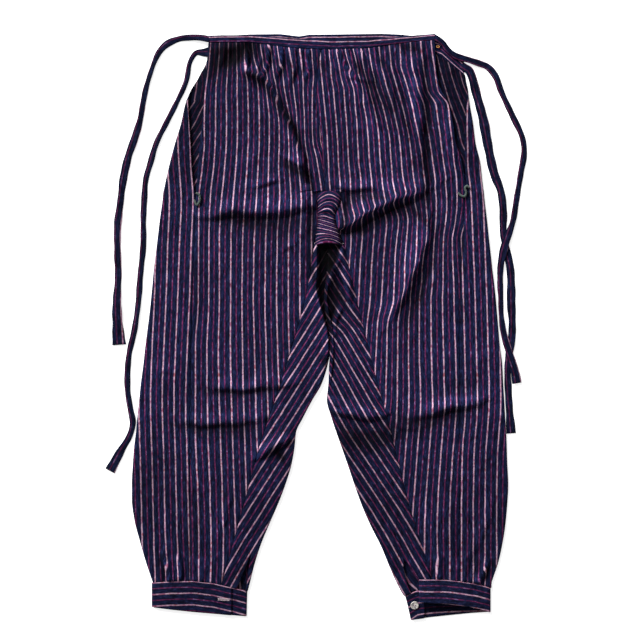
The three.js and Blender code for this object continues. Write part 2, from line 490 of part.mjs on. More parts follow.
// A front panel: one layer from its side edge to the centre seam, crotch strip or gusset.
function frontPanel(half, columns) {
  return ROWS.map((y) => {
    const side = section(half, y, 'side') - (half.sign * SEAM_GAP) / 2;
    const middle = section(half, y, 'middle') + (half.sign * SEAM_GAP) / 2;
    return Array.from({ length: columns + 1 }, (_, c) => {
      const x = mix(side, middle, c / columns);
      const bent = bentHeight(x, y, frontWaist, frontCuff);
      return { x, y: bent, z: frontLevel(x, bent), nx: 0, nz: 1 };
    });
  });
}

const FOLD_STEPS = 4;

// A back panel: flat under the garment, round its outer fold and over to the outseam on the front.
function backPanel(half, flatColumns, overColumns) {
  return ROWS.map((y) => {
    const inner = section(half, y, 'back') + (half.sign * SEAM_GAP) / 2;
    const outer = section(half, y, 'outer');
    const hem = section(half, y, 'hem') + (half.sign * SEAM_GAP) / 2;
    const centre = outer - half.sign * FOLD_RADIUS;
    const turn = Math.PI * (1 - smooth(LIP_TO_Y, LIP_FROM_Y, y));
    const row = [];
    for (let c = 0; c <= flatColumns; c += 1) {
      const x = mix(inner, centre, c / flatColumns);
      row.push({ x, y: bentHeight(x, y, backWaist, backCuff), z: BACK_LEVEL, nx: 0, nz: -1 });
    }
    const bent = bentHeight(outer, y, backWaist, backCuff);
    let x = centre;
    let z = BACK_LEVEL;
    for (let i = 1; i <= FOLD_STEPS; i += 1) {
      const angle = (turn * i) / FOLD_STEPS;
      x = centre + half.sign * FOLD_RADIUS * Math.sin(angle);
      z = BACK_LEVEL + FOLD_RADIUS * (1 - Math.cos(angle));
      row.push({ x, y: bent, z, nx: half.sign * Math.sin(angle), nz: -Math.cos(angle) });
    }
    const over = Math.max(0.8, Math.abs(centre - hem));
    const folded = (turn / Math.PI) ** 4;
    for (let i = 1; i <= overColumns; i += 1) {
      const along = (over * i) / overColumns;
      const px = x + half.sign * Math.cos(turn) * along;
      const py = bentHeight(px, y, backWaist, frontCuff);
      const lift = (frontLevel(px, py) - FRONT_LEVEL) * folded;
      row.push({
        x: px,
        y: py,
        z: z + Math.sin(turn) * along + lift,
        nx: half.sign * Math.sin(turn),
        nz: -Math.cos(turn),
      });
    }
    return row;
  });
}

// A gusset: from the front seam to the inside fold and back underneath to the back seam.
const VENT_TOP_Y = -352;
const TIGHT_FOLD = 1.15; // radius of the fold where the leg's inside slopes down
const SLOPE_STEPS = 2;
function gussetPanel(half, columns, vent) {
  const rows = ROWS.filter((y) => y <= CROTCH_Y + 0.01);
  return rows.map((y, index) => {
    const away = index === 0 ? SEAM_GAP : 0;
    const front = section(half, y, 'middle') - (half.sign * SEAM_GAP) / 2;
    const inner = section(half, y, 'inner');
    const under = section(half, y, 'under');
    const sloped = smooth(0, 6, Math.abs(under - inner));
    const radius = mix(FOLD_RADIUS, TIGHT_FOLD, sloped);
    const turn = inner + half.sign * mix(FOLD_RADIUS, 0.8, sloped);
    const centre = under + half.sign * radius;
    const open = clamp01((VENT_TOP_Y - y) / (VENT_TOP_Y - CUFF_Y));
    const row = [];
    for (let c = 0; c <= columns; c += 1) {
      let t = c / columns;
      const slit = [vent.column / columns, (vent.column + 1) / columns];
      const widened = [vent.from, vent.to];
      if (c === vent.column) t = mix(slit[0], widened[0], open);
      if (c === vent.column + 1) t = mix(slit[1], widened[1], open);
      const x = mix(front, turn, t);
      const cuffEdge = c > vent.column ? backCuff : frontCuff;
      const bent = bentHeight(x, y, frontWaist, cuffEdge) - away;
      row.push({ x, y: bent, z: frontLevel(x, bent), nx: 0, nz: 1 });
    }
    const bent = bentHeight(inner, y, frontWaist, backCuff) - away;
    const top = row[row.length - 1].z;
    const foldTop = BACK_LEVEL + 2 * radius;
    for (let i = 1; i <= SLOPE_STEPS; i += 1) {
      const t = i / (SLOPE_STEPS + 1);
      const lean = sloped * Math.sin(Math.PI * t) * 0.7;
      row.push({
        x: mix(turn, centre, t),
        y: bent,
        z: mix(top, foldTop, smooth(0, 1, t)),
        nx: -half.sign * lean,
        nz: Math.sqrt(1 - lean * lean),
      });
    }
    for (let i = 0; i <= FOLD_STEPS; i += 1) {
      const angle = (Math.PI * i) / FOLD_STEPS;
      row.push({
        x: centre - half.sign * radius * Math.sin(angle),
        y: bent,
        z: BACK_LEVEL + radius * (1 + Math.cos(angle)),
        nx: -half.sign * Math.sin(angle),
        nz: Math.cos(angle),
      });
    }
    const back = section(half, y, 'back') - (half.sign * SEAM_GAP) / 2;
    for (let c = 1; c <= 3; c += 1) {
      const x = mix(centre, back, c / 3);
      row.push({ x, y: bentHeight(x, y, backWaist, backCuff) - away, z: BACK_LEVEL, nx: 0, nz: -1 });
    }
    return row;
  });
}

// The crotch strip: puckered down the front, folded under and up the back to a point.
const PUCKER_PITCH = 13;
const PUCKER_HEIGHT = 0.9;
function crotchStrip(columns) {
  const frontSteps = 18;
  const backSteps = 5;
  const grid = [];
  const edge = (y, side, column) => section(side, y, column) - side.sign * SEAM_GAP;
  const addRow = (y, column, place) => {
    const left = edge(y, LEFT_HALF, column);
    const right = edge(y, RIGHT_HALF, column);
    grid.push(Array.from({ length: columns + 1 }, (_, c) => {
      const across = c / columns;
      return place(mix(left, right, across), y, across);
    }));
  };
  for (let i = 0; i <= frontSteps; i += 1) {
    const y = mix(STRIP_TOP_Y, STRIP_FOLD_Y, i / frontSteps);
    const pucker = PUCKER_HEIGHT * Math.sin((Math.PI * 2 * (y - STRIP_TOP_Y)) / PUCKER_PITCH);
    const calm = smooth(STRIP_FOLD_Y, STRIP_FOLD_Y + 14, y);
    addRow(y, 'middle', (x, _, across) => {
      const z = mix(FRONT_LEVEL, frontLevel(x, y) + pucker + PUCKER_HEIGHT, calm);
      const arch = i === 0 ? STRIP_ARCH * 4 * across * (1 - across) : 0;
      return { x, y: y + arch, z, nx: 0, nz: 1 };
    });
  }
  for (let i = 1; i < 5; i += 1) {
    const angle = (Math.PI * i) / 5;
    addRow(STRIP_FOLD_Y, 'middle', (x, y) => ({
      x,
      y: y - FOLD_RADIUS * Math.sin(angle),
      z: BACK_LEVEL + FOLD_RADIUS * (1 + Math.cos(angle)),
      nx: 0,
      ny: -Math.sin(angle),
      nz: Math.cos(angle),
    }));
  }
  for (let i = 0; i <= backSteps; i += 1) {
    const y = mix(STRIP_FOLD_Y, STRIP_BACK_TOP_Y, i / backSteps);
    addRow(y, 'back', (x) => ({ x, y, z: BACK_LEVEL, nx: 0, nz: -1 }));
  }
  return grid;
}

// A flat strip along a line of rows with x, y, high and half or wide.
function stripGrid(line, steps, columns) {
  const points = line.map((p) => new THREE.Vector3(p.x, p.y, p.high));
  const curve = new THREE.CatmullRomCurve3(points, false, 'centripetal');
  const grid = [];
  for (let i = 0; i <= steps; i += 1) {
    const at = (i / steps) * (line.length - 1);
    const t = i / steps;
    const place = curve.getPoint(t);
    const along = curve.getTangent(t);
    const across = new THREE.Vector2(-along.y, along.x).normalize();
    const before = Math.min(Math.floor(at), line.length - 2);
    const half = mix(line[before].wide, line[before + 1].wide, at - before) / 2;
    grid.push(Array.from({ length: columns + 1 }, (_, c) => {
      const off = mix(half, -half, c / columns);
      const z = Math.max(place.z, TIE / 2);
      return { x: place.x + across.x * off, y: place.y + across.y * off, z, nx: 0, nz: 1 };
    }));
  }
  return grid;
}

// A waistband: each row of the table and a row halfway to the next, its ends cut straight up.
function bandGrid(table, level) {
  const places = table.slice(1).flatMap((p, i) => [table[i].x, (table[i].x + p.x) / 2]);
  return [...places, table[table.length - 1].x].map((x) => {
    const y = lookUp(table, 'x', x, 'y');
    const half = lookUp(table, 'x', x, 'half');
    return [half, 0, -half].map((off) => ({ x, y: y + off, z: level, nx: 0, nz: 1 }));
  });
}

// A cuff: front flap, outer fold, back, inner fold and the underlap below the flap's end.
function cuffGrid(cuff) {
  const rows = 4;
  const grid = [];
  for (let r = 0; r <= rows; r += 1) {
    const t = r / rows;
    const height = (x, top, bottom) => mix(lookUp(top, 'x', x, 'y'), lookUp(bottom, 'x', x, 'y'), t);
    const front = (x) => height(x, cuff.frontTop, cuff.frontBottom);
    const back = (x) => height(x, cuff.backTop, cuff.backBottom);
    const row = [];
    const liftAt = (x) => cuff.lift * t ** 1.5 * smooth(0, 40, Math.abs(x - cuff.outer));
    const outerRadius = (BAND_FRONT_LEVEL - BAND_BACK_LEVEL) / 2;
    const outerCentre = cuff.outer - cuff.sign * outerRadius;
    for (let c = 0; c <= 9; c += 1) {
      const x = mix(cuff.flapEnd, outerCentre, c / 9);
      const overLap = cuff.overLap * (1 - smooth(0, 14, Math.abs(x - cuff.underlapEnd)));
      const passed = (x - cuff.underlapEnd) * cuff.sign < 0 ? cuff.overLap : overLap;
      const z = BAND_FRONT_LEVEL + Math.max(passed, liftAt(x));
      row.push({ x, y: front(x), z, nx: 0, nz: 1 });
    }
    for (let i = 1; i <= 4; i += 1) {
      const angle = (Math.PI * i) / 4;
      row.push({
        x: outerCentre + cuff.sign * outerRadius * Math.sin(angle),
        y: back(cuff.outer),
        z: BAND_BACK_LEVEL + outerRadius * (1 + Math.cos(angle)),
        nx: cuff.sign * Math.sin(angle),
        nz: Math.cos(angle),
      });
    }
    const innerRadius = (cuff.underlapLevel - BAND_BACK_LEVEL) / 2;
    const lean = mix(cuff.innerTop, cuff.innerBottom, t);
    const innerCentre = lean + cuff.sign * innerRadius;
    for (let c = 1; c <= 6; c += 1) {
      const x = mix(outerCentre, innerCentre, c / 6);
      row.push({ x, y: back(x), z: BAND_BACK_LEVEL, nx: 0, nz: -1 });
    }
    for (let i = 1; i <= 4; i += 1) {
      const angle = (Math.PI * i) / 4;
      row.push({
        x: innerCentre - cuff.sign * innerRadius * Math.sin(angle),
        y: back(lean),
        z: BAND_BACK_LEVEL + innerRadius * (1 - Math.cos(angle)),
        nx: -cuff.sign * Math.sin(angle),
        nz: -Math.cos(angle),
      });
    }
    for (let c = 1; c <= 3; c += 1) {
      const x = mix(innerCentre, cuff.underlapEnd, c / 3);
      row.push({ x, y: back(x), z: cuff.underlapLevel, nx: 0, nz: 1 });
    }
    grid.push(row);
  }
  return grid;
}

const UNDERLAP_LEVEL = 4.7;
const CUFF_LEFT = {
  sign: -1,
  outer: -256,
  flapEnd: -131.5,
  underlapEnd: -138,
  innerTop: -107.5,
  innerBottom: -108.5,
  underlapLevel: UNDERLAP_LEVEL,
  overLap: 1,
  lift: 0,
  frontTop: CUFF_L_TOP,
  frontBottom: CUFF_L_BOTTOM,
  backTop: CUFF_L_TOP,
  backBottom: CUFF_L_BOTTOM,
};
const CUFF_RIGHT = {
  sign: 1,
  outer: 275.5,
  flapEnd: 164,
  underlapEnd: 172,
  innerTop: 143,
  innerBottom: 151.5,
  underlapLevel: UNDERLAP_LEVEL,
  overLap: 1,
  lift: 9,
  frontTop: CUFF_R_FRONT_TOP,
  frontBottom: CUFF_R_FRONT_BOTTOM,
  backTop: CUFF_R_BACK_TOP,
  backBottom: CUFF_R_BACK_BOTTOM,
};

// A thick thread lying on the front layer along a line.
function threadGeometry(line) {
  const highest = Math.max(...line.map((p) => frontLevel(p.x, p.y)));
  const level = highest + CLOTH / 2 + THREAD_RADIUS + SEAM_GAP;
  const lifted = line.map((p) => new THREE.Vector3(p.x, p.y, level));
  const shape = new THREE.Shape();
  shape.absarc(0, 0, THREAD_RADIUS, 0, Math.PI * 2, false);
  const path = new THREE.CatmullRomCurve3(lifted);
  return new THREE.ExtrudeGeometry(shape, { steps: 14, curveSegments: 4, extrudePath: path });
}

// A two-hole shirt button with a bevelled rim.
function buttonGeometry() {
  const radius = BUTTON_DIAMETER / 2;
  const bevel = 0.4;
  const disc = new THREE.Shape();
  disc.absarc(0, 0, radius - bevel, 0, Math.PI * 2, false);
  for (const side of [-1, 1]) {
    const hole = new THREE.Path();
    hole.absarc(side * 1.7, 0, 1, 0, Math.PI * 2, true);
    disc.holes.push(hole);
  }
  const options = {
    depth: BUTTON_THICKNESS - 2 * bevel,
    bevelEnabled: true,
    bevelThickness: bevel,
    bevelSize: bevel,
    bevelSegments: 1,
    curveSegments: 10,
  };
  return new THREE.ExtrudeGeometry(disc, options).translate(0, 0, bevel);
}

const COLOURS = { cotton: '#191c4b', band: '#1b1e4e', tie: '#17193f', thread: '#24352f', pearl: '#b9b6ad' };
const garment = new THREE.Group();
function add(name, geometry, colour, roughness = 0.9) {
  const material = new THREE.MeshStandardMaterial({ color: colour, roughness, metalness: 0 });
  const mesh = new THREE.Mesh(geometry.translate(-MIDDLE_X, -MIDDLE_Y, 0), material);
  mesh.name = name;
  garment.add(mesh);
  return mesh;
}

const VENT_COLUMN = 3;
const LEFT_VENT = { column: VENT_COLUMN, from: 0.42, to: 0.56 };
const RIGHT_VENT = { column: VENT_COLUMN, from: 0.42, to: 0.56 };
const ventKept = (columns) => {
  const rows = ROWS.filter((y) => y <= CROTCH_Y + 0.01);
  return (r, c) => !(c === columns && rows[r + 1] < VENT_TOP_Y - 0.01 && rows[r] <= VENT_TOP_Y + 1);
};

add('front_left', shellGeometry(frontPanel(LEFT_HALF, 17), CLOTH), COLOURS.cotton);
add('front_right', shellGeometry(frontPanel(RIGHT_HALF, 17), CLOTH), COLOURS.cotton);
add('back_left', shellGeometry(backPanel(LEFT_HALF, 5, 3), CLOTH), COLOURS.cotton);
add('back_right', shellGeometry(backPanel(RIGHT_HALF, 5, 3), CLOTH), COLOURS.cotton);
const leftGusset = gussetPanel(LEFT_HALF, 6, LEFT_VENT);
const rightGusset = gussetPanel(RIGHT_HALF, 6, RIGHT_VENT);
add('gusset_left', shellGeometry(leftGusset, CLOTH, ventKept(VENT_COLUMN)), COLOURS.cotton);
add('gusset_right', shellGeometry(rightGusset, CLOTH, ventKept(VENT_COLUMN)), COLOURS.cotton);
add('crotch_strip', shellGeometry(crotchStrip(5), CLOTH), COLOURS.cotton);
add('front_waistband', shellGeometry(bandGrid(FRONT_BAND, BAND_FRONT_LEVEL), BAND), COLOURS.band);
add('back_waistband', shellGeometry(bandGrid(BACK_BAND, BAND_BACK_LEVEL), BAND), COLOURS.band);
const TIES = {
  tie_front_left: TIE_FRONT_LEFT,
  tie_back_left: TIE_BACK_LEFT,
  tie_front_right: TIE_FRONT_RIGHT,
  tie_back_right: TIE_BACK_RIGHT,
};
for (const [name, line] of Object.entries(TIES)) {
  add(name, shellGeometry(stripGrid(line, (line.length - 1) * 2, 1), TIE), COLOURS.tie);
}
add('cuff_left', shellGeometry(cuffGrid(CUFF_LEFT), BAND), COLOURS.band);
add('cuff_right', shellGeometry(cuffGrid(CUFF_RIGHT), BAND), COLOURS.band);
add('tack_left', threadGeometry(TACK_LEFT), COLOURS.thread);
add('tack_right', threadGeometry(TACK_RIGHT), COLOURS.thread);
const button = add('button_right', buttonGeometry(), COLOURS.pearl, 0.3);
button.position.set(BUTTON_PLACE.x, BUTTON_PLACE.y, UNDERLAP_LEVEL + BAND / 2 + SEAM_GAP);

export default garment;
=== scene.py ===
import math
from types import SimpleNamespace

import bpy
import numpy as np
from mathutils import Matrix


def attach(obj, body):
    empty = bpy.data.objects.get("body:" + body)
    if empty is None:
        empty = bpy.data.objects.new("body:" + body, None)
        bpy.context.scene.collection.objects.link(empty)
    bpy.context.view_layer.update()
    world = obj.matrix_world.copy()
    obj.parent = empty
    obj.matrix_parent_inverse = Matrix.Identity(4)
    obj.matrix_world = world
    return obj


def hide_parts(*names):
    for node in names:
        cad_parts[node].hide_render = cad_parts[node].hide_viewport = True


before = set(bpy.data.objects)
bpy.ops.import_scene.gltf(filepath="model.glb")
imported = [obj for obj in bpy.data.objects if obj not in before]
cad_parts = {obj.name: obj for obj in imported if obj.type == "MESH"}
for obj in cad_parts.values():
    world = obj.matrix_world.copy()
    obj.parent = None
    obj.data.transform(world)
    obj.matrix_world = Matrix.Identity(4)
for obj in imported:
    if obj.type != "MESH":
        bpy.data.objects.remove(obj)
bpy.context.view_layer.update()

MM = 0.001
MIDDLE_X = 2.0
MIDDLE_Y = -0.37
UP, DOWN = np.array([0, 0, 1.0]), np.array([0, 0, -1.0])

# Walls, levels and gaps.
COTTON = 0.9
BAND_WALL = 2.0
TIE_WALL = 1.8
SEAM_GAP = 0.3
FRONT_LEVEL = 5.95
BACK_LEVEL = COTTON / 2 + 0.05
FOLD_RADIUS = (FRONT_LEVEL - BACK_LEVEL) / 2
TIGHT_FOLD = 1.15
BAND_BACK_LEVEL = 1.1
BAND_FRONT_LEVEL = 6.3
LOWEST_DIP = -2.8
REPEAT = 18.4  # pink line to pink line

WAIST_Y = 439.5
CROTCH_Y = 130.0
CUFF_Y = -403.5
STRIP_TOP_Y = 211.0
STRIP_FOLD_Y = 133.0
STRIP_BACK_TOP_Y = 196.0
LIP_FROM_Y = 392.0
LIP_TO_Y = 345.0


def table(columns, text):
    """Rows of a short table as named columns: numbers, but for a name."""
    rows = [line.split() for line in text.strip().splitlines()]
    cells = {column: [row[i] for row in rows] for i, column in enumerate(columns.split())}
    return {c: v if c == "name" else np.array(v, float) for c, v in cells.items()}


LEFT_SECTIONS = table("y outer hem side middle back inner under", """
439.5 -168.5 -165 -167.5 9.5 8 9.5 9.5
416 -173 -169.5 -169.5 6.5 8 6.5 6.5
395.5 -183.5 -180 -171.5 4 8 4 4
372 -195 -191.5 -173 3.5 8 3.5 3.5
351.5 -203.5 -199.5 -174.5 3 8 3 3
320 -210.5 -198 -177.5 7 8 7 7
288.5 -220 -196 -181 11 8 11 11
246 -231 -193 -184 14 8 14 14
230 -234.5 -192 -185.5 15.5 8 15.5 15.5
213.5 -238 -190 -187 15.5 7.3 15.5 15.5
212 -238.5 -189.5 -187 3 7 3 3
200.5 -239.5 -187.5 -187.5 3 5.5 3 3
172 -243.5 -188.5 -188.5 4.5 3 4.5 4.5
130 -248.5 -189.5 -189.5 -1 -1 3 21.5
89 -253.5 -191 -191 -6.5 -6.5 3.5 21
62 -256 -192 -192 -11.5 -11.5 2.5 17.5
41.5 -258 -192.5 -192.5 -15.5 -15.5 6.5 15.5
18 -260.5 -193 -193 -22 -22 13 18
-5.5 -263.5 -193.5 -193.5 -28.5 -28.5 20.5 23.5
-29 -266.5 -194.5 -194.5 -35.5 -35.5 23 25
-60.5 -270 -195 -195 -45 -45 19.5 19.5
-90.5 -274 -195.5 -195.5 -54 -54 10 10
-115.5 -276.5 -196 -196 -62.5 -62.5 -4.5 -4.5
-144 -279.5 -196 -196 -72.5 -72.5 -19.5 -19.5
-166 -281.5 -196 -196 -80 -80 -30 -30
-189.5 -284.5 -196 -196 -87.5 -87.5 -32.5 -32.5
-218 -286.5 -196 -196 -95.5 -95.5 -37.5 -37.5
-244.5 -288 -196.5 -196.5 -102.5 -102.5 -45.5 -45.5
-273 -288 -196.5 -196.5 -110 -110 -56 -56
-304.5 -284 -196.5 -196.5 -119 -119 -69.5 -69.5
-337.5 -275.5 -196.5 -196.5 -128 -128 -83.5 -83.5
-370.5 -266 -196.5 -196.5 -138 -138 -96.5 -96.5
-403.5 -255 -196.5 -196.5 -148 -148 -106.5 -106.5
""")
RIGHT_SECTIONS = table("y outer hem side middle back inner under", """
439.5 198 194.5 188 9.5 8.5 9.5 9.5
416 220 216.5 189.5 6.5 8.5 6.5 6.5
395.5 238.5 235 191 4 8.5 4 4
372 240.5 237 196.5 3.5 8.5 3.5 3.5
351.5 243 238 209 3 8.5 3 3
320 248.5 237 217 7 8.5 7 7
288.5 252.5 235.5 221.5 11 8.5 11 11
257 260 236.5 231.5 13 8.5 13 13
230.5 263 237 235.5 15.5 8.5 15.5 15.5
213.5 265.2 237 236.3 15.5 9.7 15.5 15.5
212 265.5 237 236.5 41 10 41 41
200.5 266.5 236 236 41.5 12.5 41.5 41.5
172 270 235 235 32.5 23.5 32.5 32.5
130 274.5 233 233 45 45 41 23
108 277 231.5 231.5 50 50 38.5 23.5
89 279 231 231 54.5 54.5 26 22.5
70 281.5 230 230 59 59 19 19.5
41.5 284.5 228.5 228.5 66 66 16.5 17
18 286.5 228.5 228.5 71.5 71.5 20.5 20
-5.5 288.5 228 228 77.5 77.5 25.5 25
-29 290.5 228 228 84 84 27 26.5
-60.5 294.5 228 228 91 91 25 25
-90.5 296 228 228 99 99 21.5 21.5
-115.5 297.5 228.5 228.5 106 106 19 19
-142.5 299 228.5 228.5 113.5 113.5 26 26
-174 301 228.5 228.5 121.5 121.5 36.5 36.5
-218 302.5 229 229 132.5 132.5 52 52
-249.5 304 229 229 140.5 140.5 62.5 62.5
-277.5 302.5 229 229 148 148 72.5 72.5
-315.5 299 229.5 229.5 159 159 89 89
-337.5 295.5 229.5 229.5 166 166 100.5 100.5
-370.5 288.5 229.5 229.5 176 176 119 119
-403.5 277.5 229.5 229.5 185 185 140 140
""")
FRONT_BAND = table("x y half", """
-166.5 452 4.8
-146.5 452.5 5
-102 452.5 5
-56.5 448 6.5
-26.5 445 7
26.5 443 6.5
85 444.5 6
123.5 449.5 4.7
157.5 453 4.2
188.5 455.5 4.2
""")
BACK_BAND = table("x y half", """
-166.5 432.5 9
-146.5 443 9.8
-126 448 10.2
-102 449.5 10.2
-55 450 10.2
-25 447 9.5
-9.5 449 10.2
36 449.5 10.2
105.5 450.5 10.2
133.5 449.5 10
181 444.5 9.8
200 435.5 11.3
218.5 420 9.8
234.5 406.5 9.6
""")
TIE_FRONT_LEFT = table("x y wide high", """
-168 452 9.5 6.3
-181 454.5 9.5 4.6
-196.5 455 9.5 2.2
-214 453 10 1
-233 445 11 1
-244.5 433.5 9.5 1
-252 419 8.5 1
-265 380 8.5 1
-271 351.5 9.5 1
-275.5 325.5 10 1
-284.5 295 12 1
-294 268 12.5 1
-302 232 12 1
-306.5 196 11 1
-311 158 12 1
-311 111 11 1
-310 84 11 1
-312 37 14 1
-311 2.5 18 1
-308.5 -29 22 1
""")
TIE_BACK_LEFT = table("x y wide high", """
-167.7 432 15 1
-176 431.5 12.5 1
-187 431 8.5 1
-196.5 417.5 8 1
-203 386 8 1
-218.5 351.5 8.5 1
-234.5 320 8.5 1
-250 288.5 9.5 1
-259.5 257 9.5 1
-266.5 232 9.5 1
-269 200.5 9.5 1
-270.5 169 9.5 1
-270.5 130 9.5 1
-275.5 76.5 9.5 1
-278.5 37 9.5 1
-284.5 -5.5 9.5 1
-292.5 -41.5 9.5 1
-295.5 -73 9.5 1
-295 -103 9.5 1
-290.5 -131.5 9.5 1
-287 -152 9.5 1
-292 -172 10 1
-306 -196 12.5 1
-323 -227.5 16.5 1
""")
TIE_FRONT_RIGHT = table("x y wide high", """
191 453 9.5 6.3
195.5 450.5 9.5 6
202 444.5 9.5 5
207 437.5 9.5 4.2
219.5 427 9.5 4
245.5 418.5 10 3.6
259.5 414 11 2
272 409 11 1
284.5 394 10 1
292.5 372 9.5 1
311.5 331 9.5 1
326 299.5 9.5 1
329.5 276 9.5 1
324 240 9.5 1
317.5 200.5 9.5 1
312 167.5 10 3.5
306 148.5 11 3.6
298 125 12 3.6
292.5 98.5 11 3.4
291.5 71.5 9.5 1.6
292.5 48 8.5 1
293.5 18 8.5 1
296.5 -7 9.5 2.8
302.5 -30.5 11 3.6
309.5 -52.5 12.5 3.6
314.5 -70 13.5 3.5
318 -89.5 14 2.6
""")
TIE_BACK_RIGHT = table("x y wide high", """
238.5 406 14 1
242.5 403.5 14 1
247 394 14 1
254 367.5 14 1
265 325.5 15 1
272 287 15 1
282 241.5 13.5 1
292.5 213 12.5 1
296.5 181.5 12 1
296.5 148.5 12 1
301.5 120.5 12 1
307.5 92 12.5 1
309 63.5 13.5 1
309 37 13.5 1
310.5 8.5 12.5 1
310 -18 12 1
305.5 -43.5 12 1
303.5 -68.5 11 1
304.5 -100 11 1
306.5 -134.5 12.5 1
309 -168.5 15 1
""")
CUFF_L_TOP = table("x y", """
-255.5 -403.5
-225 -401.5
-192 -401
-160.5 -404.5
-131.5 -411
-107 -417.5
""")
CUFF_L_BOTTOM = table("x y", """
-256.5 -441
-225 -445
-192 -448.5
-151 -452
-108.5 -455.5
""")
CUFF_R_FRONT_TOP = table("x y", """
163.5 -398.5
204.5 -399
228 -401.5
251.5 -405
276 -411.5
""")
CUFF_R_FRONT_BOTTOM = table("x y", """
163.5 -432
204.5 -434.5
240.5 -438.5
259.5 -443.5
274.5 -449
""")
CUFF_R_BACK_TOP = table("x y", """
143 -424
159 -417
181 -414.5
229.5 -412
276 -411.5
""")
CUFF_R_BACK_BOTTOM = table("x y", """
151 -461.5
181 -457.5
204.5 -455
244 -451
274.5 -449
""")
TACK_LEFT = table("x y", """
-187 210
-182 207
-181 198
-186 191
-189.5 199
""")
TACK_RIGHT = table("x y", """
225 210
229 206
235 204.5
237.5 211
235.5 217.5
239 221
242.5 218
""")
# Folds of the front layer along three points: a ridge, or a trough where high is negative.
# lean sets the steep side (positive: the side to the right of the way along it), slip is how far
# the stripes jump across it, start and end say how much of it is left at each end.
FOLDS = table("name x1 y1 x2 y2 x3 y3 wide high lean slip start end", """
left_hip_diagonal -93 403.5 -47 332.5 -19 254 8 7 -0.45 2 0.8 0.4
left_tuck -107 424 -104 403.5 -83.5 389.5 7 7.5 -0.5 2.5 0.5 0.6
left_crotch_drag -23.5 277.5 -11 222.5 -1.5 200.5 7 4 -0.3 0 0.2 0.6
left_thigh_tick -105.5 219.5 -77 227.5 -49 232 5 2.5 0.4 0 0.1 0.4
left_thigh_cross -181 177 -94.5 181.5 -14 186.5 13 5 0.45 0 0.2 0.9
left_knee_upper -192 -90.5 -110 -96.5 -33 -89 9 3.5 0.4 0 0.1 0.5
left_knee_lower -231 -144 -157.5 -152 -80 -144 9 3 0.4 0 0.2 0.6
left_inner_lap -91 -205.5 -67.5 -189.5 -47 -181.5 7 5.5 0.5 5.5 0.3 0.9
left_under_band -155.5 419 -127.5 422.5 -105.5 428.5 16 -2.6 0 0 0.5 0.8
left_gather_1 -146.5 441 -146.5 422.5 -148 400.5 4.5 1.6 0 0 1 0
left_gather_2 -126 441 -126 422.5 -129 397 4.5 1.6 0 0 1 0
left_gather_3 -71 441 -74 416 -83.5 381.5 5 3.4 -0.35 2.4 1 0
left_gather_4 -50.5 435 -54 410 -66 369 5 3.2 -0.35 2.2 1 0
left_gather_5 -30 432 -33 406.5 -43 362.5 5 3 -0.3 -2 1 0
left_gather_6 -9.5 432 -12.5 410 -22 375 4.5 2.6 0.3 1.8 1 0
right_tuck 39.5 425.5 58 391 80 351.5 7 4 -0.4 2 0.8 0.3
right_hip_fan_1 93 427 130.5 337.5 170 233.5 11 4 -0.3 0 0.6 0.2
right_hip_fan_2 58 422.5 89.5 340.5 115 254 10 2.5 -0.3 0 0.6 0.1
right_side_ridge 155.5 416 162 325 166.5 230.5 9 4.2 0 0 0.7 0.3
right_side_valley 176 416 177.5 317 177.5 199 7 -2.8 0 0 0.6 0.3
right_pocket_ridge 206 343.5 214 281 223.5 224 7 2.5 0 0 0.2 0.6
right_thigh_crease 47 159.5 111.5 191 192 225.5 14 7.5 0.6 3 0.9 0.2
right_thigh_ridge 181 164.5 152.5 81 111.5 1 12 6 -0.55 -2 0.4 0.2
right_thigh_valley 192 148.5 171.5 70 130.5 -8.5 8 -2.6 0 0 0.4 0.2
right_knee_inner 20 -126 68 -140 110 -139 9 5.5 0.4 -4 0.6 0.45
right_knee_outer 157.5 -142.5 209 -128 259.5 -119 10 5 0.4 0 0.3 0.7
right_gather_1 26.5 428.5 28.5 410 34 384.5 4.5 2.6 0.3 -1.8 1 0
right_gather_2 55 428.5 61.5 410 70 384 4.5 2.6 -0.3 1.6 1 0
right_gather_3 74 428.5 82 406.5 97 372 4.5 2.8 -0.35 1.6 1 0
right_gather_4 110 432 119.5 410 132 381.5 4.5 2.4 0 0 1 0
right_gather_5 133.5 435 141.5 416 151 394 4.5 2.2 0 0 1 0
left_cuff_gather_1 -241 -350 -235 -372 -228 -404 5 4.2 0.4 2.4 0.3 1
left_cuff_gather_2 -214 -352 -211 -374 -213 -404 4.5 3 -0.3 1.6 0.1 1
left_cuff_gather_3 -176 -361 -177.5 -378.5 -179.5 -404 4.5 1.8 0 0 0 1
right_cuff_gather_1 190 -352 192 -373.5 196.5 -404 4.5 2.6 0.3 1.5 0.1 1
right_cuff_gather_2 240.5 -354.5 237.5 -376.5 234.5 -406 4.5 2 0 0 0 1
right_cuff_gather_3 276 -368 264 -388 254 -408 5 4 -0.4 2.2 0.3 1
""")

